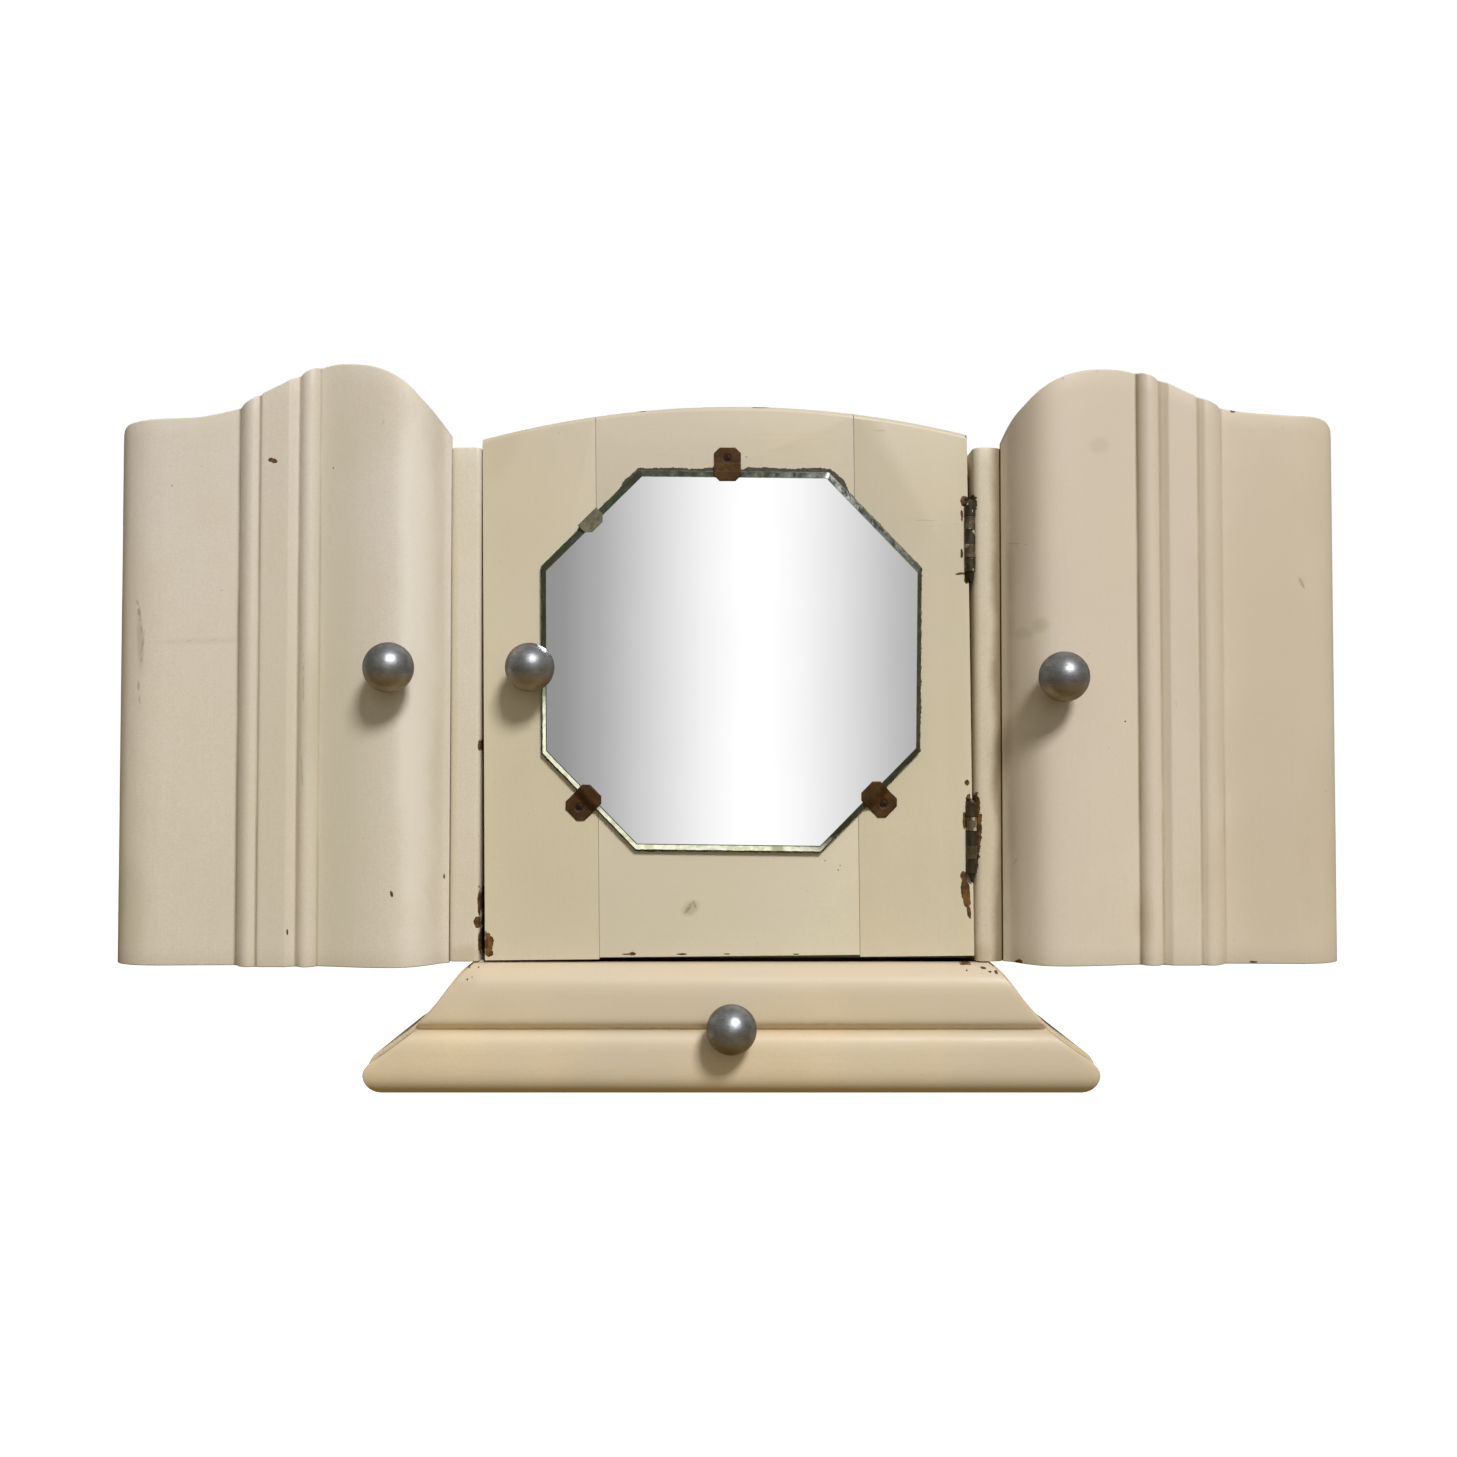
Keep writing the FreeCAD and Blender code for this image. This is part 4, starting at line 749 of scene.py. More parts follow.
pine_v = bare_wood("pine_upright", lin(182, 150, 106), lin(164, 128, 84), "Z", 2.0)
pine_y = bare_wood("pine_deep", lin(184, 152, 108), lin(162, 126, 84), "Y", 4.0)
ply = bare_wood("ply_back", lin(196, 164, 122), lin(166, 130, 90), "X", 6.0)
rust_clip = rust("rust_clip", (86, 60, 32), (62, 41, 18), (38, 25, 11), 0.0, spec=0.15)
# screw heads: dark rust, darkened further as painted shade of their sunken seats
rust_and_shade_screw = rust("rust_and_shade_screw", (52, 33, 18), (34, 21, 11), (18, 11, 6), 0.0, spec=0.15)
rust_hinge = rust("rust_hinge", (74, 64, 45), (52, 42, 27), (29, 21, 12), 0.40, flecks=0.04, seed=3.0)
rust_door_leaf = rust("rust_door_leaf", (112, 101, 78), (76, 64, 44), (40, 30, 18), 0.35, flecks=0.09, seed=7.0)
rust_side = rust("rust_side_hinge", (120, 104, 76), (84, 66, 42), (48, 34, 20), 0.4, flecks=0.10, seed=5.0)
aluminium = ball_metal("aluminium_ball", 1.0)
zinc = metal("zinc_screw", lin(150, 146, 136), lin(104, 98, 88), 0.35, 0.5, seed=2.0)
brass = metal("tarnished_brass", lin(150, 118, 60), lin(98, 74, 36), 0.3, 0.45, seed=3.0)


def painted_clip_material():
    t = Tree("painted_clip")
    a = t.noise(vec=t.scaled((260.0, 260.0, 260.0)), detail=5, rough=0.65)
    b = t.noise(vec=t.scaled((110.0, 110.0, 110.0), (2, 2, 2)), detail=3)
    col = t.mix(t.smooth(b, 0.40, 0.60), lin(116, 110, 86), lin(92, 92, 72))
    col = t.mix(t.smooth(a, 0.50, 0.66), col, lin(70, 62, 44))
    t.link(col, t.bsdf.inputs["Base Color"])
    t.link(t.smooth(a, 0.3, 0.7, 0.4, 0.6), t.bsdf.inputs["Roughness"])
    t.link(t.bump(a, 0.0003, 0.5), t.bsdf.inputs["Normal"])
    return t.mat


def silver_material():
    t = Tree("silvered_glass")
    a = t.noise(vec=t.scaled((14.0, 14.0, 14.0)), detail=3)
    sp = t.smooth(t.noise(vec=t.scaled((420.0, 420.0, 420.0), (1, 1, 1)), detail=3, rough=0.7), 0.74, 0.80)
    col = t.mix(t.smooth(a, 0.3, 0.7), (0.955, 0.96, 0.955, 1), (0.935, 0.94, 0.935, 1))
    col = t.mix(t.math("MULTIPLY", sp, 0.25), col, (0.5, 0.5, 0.46, 1))
    t.link(col, t.bsdf.inputs["Base Color"])
    t.bsdf.inputs["Metallic"].default_value = 1.0
    t.link(t.smooth(a, 0.3, 0.7, 0.012, 0.03), t.bsdf.inputs["Roughness"])
    return t.mat


def bevel_material():
    t = Tree("bevelled_glass_edge")
    a = t.noise(vec=t.scaled((200.0, 200.0, 200.0)), detail=5, rough=0.6)
    b = t.noise(vec=t.scaled((40.0, 40.0, 40.0), (5, 1, 1)), detail=3)
    col = t.mix(t.smooth(a, 0.35, 0.65), lin(50, 58, 45), lin(66, 74, 60))
    col = t.mix(t.smooth(b, 0.46, 0.62, 0.0, 0.4), col, lin(58, 58, 44))
    # painted reflection: the lower and left bevel facets get a pale colour and a weak emission
    low = t.math("ADD", t.math("MULTIPLY", t.z, -1.0), t.math("MULTIPLY", t.x, -0.62))
    low = t.math("ADD", low, t.math("MULTIPLY", t.math("SUBTRACT", b, 0.5), 0.05))
    low = t.smooth(low, 0.156, 0.180)
    pale = t.mix(t.smooth(a, 0.38, 0.56), lin(214, 222, 190), lin(250, 252, 238))
    pale = t.mix(t.smooth(b, 0.56, 0.66), pale, lin(176, 184, 152))
    col = t.mix(low, col, pale)
    t.link(pale, t.bsdf.inputs["Emission Color"])
    t.link(t.math("MULTIPLY", low, 0.42), t.bsdf.inputs["Emission Strength"])
    t.link(col, t.bsdf.inputs["Base Color"])
    t.bsdf.inputs["Metallic"].default_value = 0.1
    t.link(t.smooth(a, 0.3, 0.7, 0.12, 0.30), t.bsdf.inputs["Roughness"])
    t.link(t.bump(a, 0.0003, 0.35), t.bsdf.inputs["Normal"])
    return t.mat


def arris_material():
    t = Tree("dark_glass_arris")
    a = t.noise(vec=t.scaled((300.0, 300.0, 300.0)), detail=5, rough=0.65)
    col = t.mix(t.smooth(a, 0.38, 0.62), lin(34, 40, 24), lin(84, 78, 50))
    t.link(col, t.bsdf.inputs["Base Color"])
    t.link(t.smooth(a, 0.3, 0.7, 0.25, 0.45), t.bsdf.inputs["Roughness"])
    t.link(t.bump(a, 0.0002, 0.3), t.bsdf.inputs["Normal"])
    return t.mat


arris = arris_material()
silver = silver_material()
bevel_mat = bevel_material()
clip_paint = painted_clip_material()

# =====================================================================  moulded side doors
SECTION_SHIFT = {-1.0: ([0, 70, 72, 84.3, 89.4, 104.6, 106, 119, 121.5, 163, 192.4],
                        [0, 0, -0.3, -1.2, -0.6, 0.2, 0.6, -1.3, -1.6, -0.8, 0]),
                 1.0: ([0, 20, 70, 86, 104.6, 106, 121.5, 163.4, 192.4],
                       [0, 0, 2.9, 2.9, 3.3, 4.0, 3.6, 2.4, 1.5])}


def side_profile(sg):
    p = natural(BULGE, 160)
    p += arc3(*INNER_BEAD, 24)
    p += BAND[:1] + [BAND[1]] + [(89.4 + (104.6 - 89.4) * i / 10.0, 22.4 - 0.2 * i / 10.0) for i in range(1, 11)] + BAND[3:5]
    p += natural(OUTER_BEAD, 30)[1:]
    p += FLAT[:1] + [(121.5 + 41.9 * i / 20.0, 13.6 + 1.6 * i / 20.0) for i in range(1, 20)]
    p += natural(ROUNDING, 70)
    p = [(u + interp(u, *SECTION_SHIFT[sg]), h) for u, h in p]
    out = [p[0]]
    for q in p[1:]:
        if q[0] > out[-1][0] + 1e-4:
            out.append(q)
    return out


def side_panel(name, x_in, sg, width, bot, top, mat, body, node, knob, seed):
    us, hs, nr = height_field(side_profile(sg), width, 1.6, 0.45)
    k = 1.0
    curve = natural(top, 600)
    curve = sorted(curve, key=lambda q: q[0])
    cx = [q[0] for q in curve]
    cz = [q[1] for q in curve]
    r_top, r_bot = 1.1, 0.8
    rows = []
    for i in range(4):
        a = math.radians(30.0 * i)
        rows.append(("b", r_bot * (1 - math.sin(a)), r_bot * (1 - math.cos(a))))
    mids = 34
    for i in range(1, mids):
        rows.append(("m", 0.0, i / float(mids)))
    for i in range(5):
        a = math.radians(22.5 * i)
        rows.append(("t", r_top * (1 - math.cos(a)), r_top * (1 - math.sin(a))))
    verts, faces = [], []
    n = len(us)
    for kind, inset, val in rows:
        for u, h, (nu, nh) in zip(us, hs, nr):
            ztop = interp(x_in + sg * u * k, cx, cz)
            ins = min(inset, h * 0.6)
            uu = min(max(u - nu * ins, 0.0), width)
            hh = max(h - nh * ins, 0.0)
            if kind == "b":
                z = bot + val
            elif kind == "t":
                z = ztop - val
            else:
                z = (bot + r_bot) + (ztop - r_top - bot - r_bot) * val
            w = 0.0
            if kind == "m":
                w = 0.10 * noise.noise(Vector((u * 0.03 + seed, z * 0.012, seed))) + 0.03 * noise.noise(Vector((u * 0.2, z * 0.05, seed)))
                w *= min(1.0, h / 4.0)
            x = x_in + sg * uu * k
            y = SIDE_BACK - max(hh + w, 0.0)
            verts.append((x, y, z))
    m = len(rows)
    for j in range(m - 1):
        for i in range(n - 1):
            faces.append((j * n + i, j * n + i + 1, (j + 1) * n + i + 1, (j + 1) * n + i))
    bb = len(verts)
    for u in us:
        verts.append((x_in + sg * u * k, SIDE_BACK, bot))
    bt = len(verts)
    for u in us:
        verts.append((x_in + sg * u * k, SIDE_BACK, interp(x_in + sg * u * k, cx, cz)))
    top_row = (m - 1) * n
    for i in range(n - 1):
        faces.append((bb + i, bb + i + 1, i + 1, i))
        faces.append((top_row + i, top_row + i + 1, bt + i + 1, bt + i))
        faces.append((bb + i, bt + i, bt + i + 1, bb + i + 1))
    faces.append(tuple([j * n for j in range(m)] + [bt, bb]))
    faces.append(tuple([j * n + n - 1 for j in range(m - 1, -1, -1)] + [bb + n - 1, bt + n - 1]))
    ob = make(name, verts, faces, [mat], body, angle=38.0)
    cuts = []
    for zc in SIDE_HINGE_Z:
        z0, z1 = zc - SIDE_HINGE_LEN / 2.0, zc + SIDE_HINGE_LEN / 2.0
        xa, xb = sorted((sg * (SIDE_HINGE_X + 0.01), sg * (SIDE_HINGE_X - 13.6)))
        cuts.append(cutter_box(xa, xb, SIDE_BACK - 1.0, SIDE_BACK + 1.0, z0, z1))
        cuts.append(cutter_cyl(sg * SIDE_HINGE_X, SIDE_HINGE_Y, 2.8, z0 - 1.4, z1 + 1.4))
    cuts.append(cutter_cyl(knob[0], knob[1], 2.25, -160.0, -120.0, 32, "Y"))
    carve(ob, cuts, 38.0)
    place(ob, body, [node])
    return ob


side_panel("left_door_moulding", -160.5, -1.0, 192.4, -267.4, TOP_L, paint_left, "left_door", "left_door_panel", KNOBS["left"], 3.1)
side_panel("right_door_moulding", 159.7, 1.0, 193.9, -266.5, TOP_R, paint_right, "right_door", "right_door_panel", KNOBS["right"], 8.4)


# =====================================================================  drawer front
def drawer_front():
    prof = [(-267.0 - z, h) for z, h in natural(DRAWER_FACE, 60)] + [(-267.0 - z, h) for z, h in DRAWER_QUIRK]
    prof += [(-267.0 - z + (0.02 if i == 0 else 0.0), h) for i, (z, h) in enumerate(natural(DRAWER_LOBE, 70))]
    out = [prof[0]]
    for q in prof[1:]:
        if q[0] > out[-1][0] + 1e-4:
            out.append(q)
    us, hs, nr = height_field(out, 74.0, 1.2, 0.35)
    og = natural(OGEE, 300)
    og = sorted([(-267.0 - z, x) for x, z in og])
    oz = [q[0] for q in og]
    ox = [q[1] for q in og]
    cols = []
    r = 1.0
    for i in range(5):
        a = math.radians(22.5 * i)
        cols.append((-1, r * (1 - math.sin(a)), r * (1 - math.cos(a))))
    inner = 90
    for i in range(1, inner):
        cols.append((0, 0.0, -1.0 + 2.0 * i / inner))
    for i in range(4, -1, -1):
        a = math.radians(22.5 * i)
        cols.append((1, r * (1 - math.sin(a)), r * (1 - math.cos(a))))
    verts, faces = [], []
    n = len(us)
    for kind, inset, val in cols:
        for u, h, (nu, nh) in zip(us, hs, nr):
            hw = interp(u, oz, ox)
            ins = min(inset, h * 0.6)
            uu = min(max(u - nu * ins, 0.0), 74.0)
            hh = h - nh * ins
            if kind == 0:
                x = val * (hw - r)
                w = 0.10 * noise.noise(Vector((x * 0.02, u * 0.05, 4.0)))
            else:
                x = kind * (hw - val)
                w = 0.0
            verts.append((DRAWER_X + x, DRAWER_BACKPLANE - hh - w, -267.0 - uu))
    m = len(cols)
    for j in range(m - 1):
        for i in range(n - 1):
            faces.append((j * n + i, j * n + i + 1, (j + 1) * n + i + 1, (j + 1) * n + i))
    lb = len(verts)
    for u in us:
        verts.append((DRAWER_X - interp(u, oz, ox), DRAWER_BACKPLANE, -267.0 - u))
    rb = len(verts)
    for u in us:
        verts.append((DRAWER_X + interp(u, oz, ox), DRAWER_BACKPLANE, -267.0 - u))
    last = (m - 1) * n
    for i in range(n - 1):
        faces.append((lb + i, lb + i + 1, i + 1, i))
        faces.append((last + i, last + i + 1, rb + i + 1, rb + i))
        faces.append((lb + i, rb + i, rb + i + 1, lb + i + 1))
    faces.append(tuple([j * n for j in range(m)] + [rb, lb]))
    faces.append(tuple([j * n + n - 1 for j in range(m - 1, -1, -1)] + [lb + n - 1, rb + n - 1]))
    ob = make("drawer_moulding", verts, faces, [paint_drawer], "drawer", angle=38.0)
    kx, kz, ky = KNOBS["drawer"]
    carve(ob, [cutter_cyl(kx, kz, 7.2, ky - 12.0, ky, 48, "Y"), cutter_cyl(kx, kz, 2.25, ky - 1.0, -120.0, 32, "Y")], 38.0)
    place(ob, "drawer", ["drawer_front"])


drawer_front()


# =====================================================================  mirror door frame
def rounded_prism(name, outline, y_front, y_back, mat, body, node, steps=5, cuts=(), angle=32.0):
    """outline: list of (x, z, r_edge_to_next, r_depth)."""
    n = len(outline)
    area2 = sum(outline[i][0] * outline[(i + 1) % n][1] - outline[(i + 1) % n][0] * outline[i][1] for i in range(n))
    sgn = 1.0 if area2 > 0 else -1.0
    rows = []
    for s in range(steps + 1):
        a = math.radians(90.0 * s / steps)
        pts = []
        for i in range(n):
            x0, z0, r0, _ = outline[i - 1]
            x1, z1, r1, ry = outline[i]
            x2, z2 = outline[(i + 1) % n][:2]
            d0, d1 = r0 * (1 - math.cos(a)), r1 * (1 - math.cos(a))
            ax, az = x1 - x0, z1 - z0
            bx, bz = x2 - x1, z2 - z1
            la, lb = math.hypot(ax, az), math.hypot(bx, bz)
            ax, az, bx, bz = ax / la, az / la, bx / lb, bz / lb
            nax, naz, nbx, nbz = -az * sgn, ax * sgn, -bz * sgn, bx * sgn
            det = ax * bz - az * bx
            if abs(det) < 0.02:
                px, pz = x1 + (nax * d0 + nbx * d1) / 2.0, z1 + (naz * d0 + nbz * d1) / 2.0
            else:
                qx, qz = x1 + nax * d0, z1 + naz * d0
                sx, sz = x1 + nbx * d1, z1 + nbz * d1
                tt = ((sx - qx) * bz - (sz - qz) * bx) / det
                px, pz = qx + ax * tt, qz + az * tt
            pts.append((px, y_front + ry * (1 - math.sin(a)), pz))
        rows.append(pts)
    verts = [(p[0], y_back, p[1]) for p in outline]
    faces = []
    for pts in rows:
        verts += pts
    for j in range(len(rows)):
        for i in range(n):
            k = (i + 1) % n
            faces.append((j * n + i, j * n + k, (j + 1) * n + k, (j + 1) * n + i))
    faces.append(tuple(range(n)))
    faces.append(tuple(range(len(rows) * n, len(rows) * n + n))[::-1])
    ob = make(name, verts, faces, [mat], body, angle=angle)
    carve(ob, list(cuts), angle)
    place(ob, body, [node])
    return ob


def arch_hit(x):
    """Where a sagged vertical line through x meets the arch."""
    lo, hi = 0.0, 90.0
    for _ in range(50):
        mid = (lo + hi) / 2.0
        px, pz = sag(x, mid)
        if math.hypot(px - ARCH_X, pz - (ARCH_TOP - ARCH_R)) < ARCH_R:
            lo = mid
        else:
            hi = mid
    return sag(x, lo), lo


def arch_outline(x0, x1, z_bot, r=0.18, r_in=0.18, big=3.1):
    """Piece of the door between x0 and x1 from z_bot up to the arch."""
    (ax, az), ha = arch_hit(x0)
    (bx, bz), hb = arch_hit(x1)
    out = [(*sag(x0, z_bot), r, r), (*sag(x1, z_bot), r, r), (*sag(x1, hb - big - 0.6), r, r)]
    cz = ARCH_TOP - ARCH_R
    t0 = math.atan2(bz - cz, bx - ARCH_X)
    t1 = math.atan2(az - cz, ax - ARCH_X)
    n = 26
    for i in range(n + 1):
        t = t0 + (t1 - t0) * i / n
        out.append((ARCH_X + ARCH_R * math.cos(t), cz + ARCH_R * math.sin(t), big if i < n else r, big))
    out.append((*sag(x0, ha - big - 0.6), r, r))
    return out


GAP = 0.07
cuts_r = []
for zc in HINGE_Z:
    edge = DOOR_R - (zc - DOOR_PIVOT_Z) * math.tan(math.radians(SAG))
    dl1 = min(edge - 0.02, 142.3)
    z0, z1 = zc - HINGE_LEN / 2.0, zc + HINGE_LEN / 2.0
    cuts_r.append(cutter_box(dl1 - 1.0, dl1 + 1.5, HINGE_Y - 2.0, -113.4, z0, z1))
    cuts_r.append(cutter_cyl(HINGE_X, HINGE_Y, 3.3, z0 - 6.2, z1 + 2.4))
rounded_prism("mirror_door_stile_left", arch_outline(DOOR_L, STILE_L - GAP, DOOR_BOT, 0.22), DOOR_FRONT, DOOR_BACK, paint_door,
              "mirror_door", "door_stile_left")
rounded_prism("mirror_door_stile_right", arch_outline(STILE_R + GAP, DOOR_R, DOOR_BOT, 0.22), DOOR_FRONT, DOOR_BACK, paint_door,
              "mirror_door", "door_stile_right", cuts=cuts_r)
rounded_prism("mirror_door_rail_top", arch_outline(STILE_L + GAP, STILE_R - GAP, RAIL_TOP_Z, 0.18), DOOR_FRONT, DOOR_BACK, paint_rail,
              "mirror_door", "door_top_rail")
b = [(*sag(STILE_L + GAP, DOOR_BOT + RAIL_SHORT), 0.5, 0.5), (*sag(STILE_R - GAP, DOOR_BOT + RAIL_SHORT), 0.18, 0.5),
     (*sag(STILE_R - GAP, RAIL_BOT_Z), 0.18, 0.18), (*sag(STILE_L + GAP, RAIL_BOT_Z), 0.18, 0.18)]
rounded_prism("mirror_door_rail_bottom", b, DOOR_FRONT, DOOR_BACK, paint_rail, "mirror_door", "door_bottom_rail")


# =====================================================================  the glass
BEVELS = [4.2, 4.1, 2.6, 3.1, 3.9, 3.4, 3.0, 4.4]


def inset_poly(pts, d, k=None):
    """Inset every edge by d, or by d + k * that edge's bevel width."""
    n = len(pts)
    cx = sum(p[0] for p in pts) / n
    cz = sum(p[1] for p in pts) / n
    lines = []
    for i in range(n):
        (x0, z0), (x1, z1) = pts[i], pts[(i + 1) % n]
        ln = math.hypot(x1 - x0, z1 - z0)
        tx, tz = (x1 - x0) / ln, (z1 - z0) / ln
        nx, nz = -tz, tx
        if (cx - x0) * nx + (cz - z0) * nz < 0:
            nx, nz = -nx, -nz
        w = d if k is None else d + k * BEVELS[i]
        lines.append((x0 + nx * w, z0 + nz * w, tx, tz))
    out = []
    for i in range(n):
        x0, z0, ax, az = lines[i - 1]
        x1, z1, bx, bz = lines[i]
        det = ax * (-bz) + az * bx
        t = ((x1 - x0) * (-bz) + (z1 - z0) * bx) / det
        out.append((x0 + ax * t, z0 + az * t))
    return out


def glass():
    seg = 60
    def ring(pts, y, wob):
        out = []
        n = len(pts)
        for i in range(n):
            (x0, z0), (x1, z1) = pts[i], pts[(i + 1) % n]
            ln = math.hypot(x1 - x0, z1 - z0)
            nx, nz = (z1 - z0) / ln, -(x1 - x0) / ln
            for s in range(seg):
                f = s / float(seg)
                w = wob * noise.noise(Vector((x0 + (x1 - x0) * f, z0 + (z1 - z0) * f, 3.0)) * 0.45) if 0 < s else 0.0
                out.append((x0 + (x1 - x0) * f + nx * w, y, z0 + (z1 - z0) * f + nz * w))
        return out
    y = DOOR_FRONT
    rings = [(ring(MIRROR_PTS, y, 0.0), 2), (ring(MIRROR_PTS, y - 3.0, 0.0), 2), (ring(inset_poly(MIRROR_PTS, 0.25), y - 3.2, 0.0), 2),
             (ring(inset_poly(MIRROR_PTS, 0.62), y - 3.3, 0.25), 1), (ring(inset_poly(MIRROR_PTS, -0.5, 1.0), y - 4.42, 0.12), 2),
             (ring(inset_poly(MIRROR_PTS, 0.0, 1.0), y - 4.5, 0.05), 0)]
    verts, faces, fm = [], [], []
    n = 8 * seg
    for r, _ in rings:
        verts += r
    for j in range(len(rings) - 1):
        for i in range(n):
            k = (i + 1) % n
            faces.append((j * n + i, j * n + k, (j + 1) * n + k, (j + 1) * n + i))
            fm.append(rings[j][1])
    faces.append(tuple(range(n)))
    fm.append(2)
    faces.append(tuple(range((len(rings) - 1) * n, len(rings) * n))[::-1])
    fm.append(0)
    ob = make("bevelled_mirror", verts, faces, [silver, bevel_mat, arris], "mirror_door", angle=12.0, face_mats=fm)
    for f in ob.data.polygons:
        if f.material_index == 0:
            f.use_smooth = False
    place(ob, "mirror_door", ["mirror_glass"])
    return ob


mirror = glass()


# =====================================================================  partitions with bullnosed front edges
def upright(name, x0, x1, mat, body, node, cuts=(), r=4.4, q=4.4):
    pts = []
    for i in range(9):
        a = math.radians(180.0 + 90.0 * i / 8)
        pts.append((x0 + r + r * math.cos(a), -130.0 + r + r * math.sin(a)))
    for i in range(9):
        a = math.radians(270.0 + 90.0 * i / 8)
        pts.append((x1 - q + q * math.cos(a), -130.0 + min(q, 3.5) * (1.0 + math.sin(a))))
    pts += [(x1, -5.0), (x0, -5.0)]
    cx = (x0 + x1) / 2.0
    cy = -67.0
    zs = []
    for i in range(4):
        a = math.radians(30.0 * i)
        zs.append((-266.6 + 0.7 * (1 - math.cos(a)), 0.7 * (1 - math.sin(a))))
    for i in range(1, 30):
        zs.append((-265.9 + (31.1 + 265.9) * i / 30.0, 0.0))
    for i in range(4):
        a = math.radians(30.0 * i)
        zs.append((32.0 - 0.9 * (1 - math.sin(a)), 0.9 * (1 - math.cos(a))))
    verts, faces = [], []
    n = len(pts)
    for z, ins in zs:
        for i, (x, y) in enumerate(pts):
            w = 0.06 * noise.noise(Vector((x * 0.1, z * 0.02, 2.0))) if (ins == 0.0 and y < -120.0) else 0.0
            verts.append((x - math.copysign(min(ins, 7.0), x - cx), y + (ins if y < cy else 0.0) + max(w, 0.0), z))
    for j in range(len(zs) - 1):
        for i in range(n):
            k = (i + 1) % n
            faces.append((j * n + i, j * n + k, (j + 1) * n + k, (j + 1) * n + i))
    faces.append(tuple(range(n)))
    faces.append(tuple(range((len(zs) - 1) * n, len(zs) * n))[::-1])
    ob = make(name, verts, faces, [mat], body, angle=34.0)
    carve(ob, list(cuts), 34.0)
    place(ob, body, [node])
    return ob


cuts_p = []
for zc in HINGE_Z:
    z0, z1 = zc - HINGE_LEN / 2.0, zc + HINGE_LEN / 2.0
    cuts_p.append(cutter_box(PART_IN - 1.8, PART_IN + 0.2, HINGE_Y, -114.0, z0, z1))
    cuts_p.append(cutter_cyl(HINGE_X, HINGE_Y, 3.3, z0 - 6.2, z1 + 2.4))
upright("bullnosed_upright_left", -160.40, -143.0, paint_strip_l, "cabinet", "partition_left", r=2.6, q=2.8)
upright("bullnosed_upright_right", PART_IN, 159.62, paint_strip_r, "cabinet", "partition_right", cuts_p, r=4.4, q=8.6)


# =====================================================================  ball knobs
def ball_knob(name, key, body, node, seed):
    x, z, y = KNOBS[key]
    prof = [(4.55, 0.0), (4.55, 0.8), (4.4, 1.2), (4.2, 2.2), (4.2, 4.0)]
    m = 44
    for i in range(m + 1):
        a = math.pi - math.asin(4.2 / 14.0) - (math.pi - math.asin(4.2 / 14.0)) * i / m
        prof.append((14.0 * math.sin(a), 18.0 + 14.0 * math.cos(a)))
    seg = 96
    verts, faces = [], []
    clean = []
    for r, d in prof:
        clean.append((max(r, 0.0), d))
    for r, d in clean[:-1]:
        for s in range(seg):
            t = 2 * math.pi * s / seg
            vx, vz = r * math.cos(t), r * math.sin(t)
            w = 0.05 * noise.noise(Vector((vx * 0.25 + seed, d * 0.25, vz * 0.25))) if d > 5 else 0.0
            k = 1.0 + w / 14.0
            verts.append((x + vx * k, y - (18.0 + (d - 18.0) * k if d > 5 else d), z + vz * k))
    tip = len(verts)
    verts.append((x, y - clean[-1][1], z))
    base = len(verts)
    verts.append((x, y, z))
    n = len(clean) - 1
    for j in range(n - 1):
        for s in range(seg):
            q = (s + 1) % seg
            faces.append((j * seg + s, j * seg + q, (j + 1) * seg + q, (j + 1) * seg + s))
    for s in range(seg):
        q = (s + 1) % seg
        faces.append(((n - 1) * seg + s, (n - 1) * seg + q, tip))
        faces.append((q, s, base))
    ob = make(name, verts, faces, [aluminium], body, angle=40.0)
    place(ob, body, [node])
    if key == "mirror":
        ob.visible_glossy = False


ball_knob("ball_knob_left", "left", "left_door", "left_door_knob", 1.0)
ball_knob("ball_knob_mirror", "mirror", "mirror_door", "mirror_door_knob", 2.0)
ball_knob("ball_knob_right", "right", "right_door", "right_door_knob", 3.0)
ball_knob("ball_knob_drawer", "drawer", "drawer", "drawer_knob", 4.0)

# =====================================================================  glass clips with their sunken slotted screws
CLIPS = [(0.4, 19.0, 90.0, 0.0), (-80.9, -173.0, 224.5, 0.0), (86.1, -171.2, -44.6, 0.0)]
CLIP_PAINTED = (-80.0, -10.2, 134.8, 2.8)
CLIP_OUT, CLIP_IN, CLIP_HW, CLIP_C, CLIP_SCREW = 12.9, 7.5, 7.8, 3.2, 6.6


def clip_turn(x, z, ang, h, y, v):
    """Clip coordinates (h across, v away from the glass) to the door's."""
    a = math.radians(ang - 90.0)
    return (x + h * math.cos(a) - v * math.sin(a), y, z + h * math.sin(a) + v * math.cos(a))


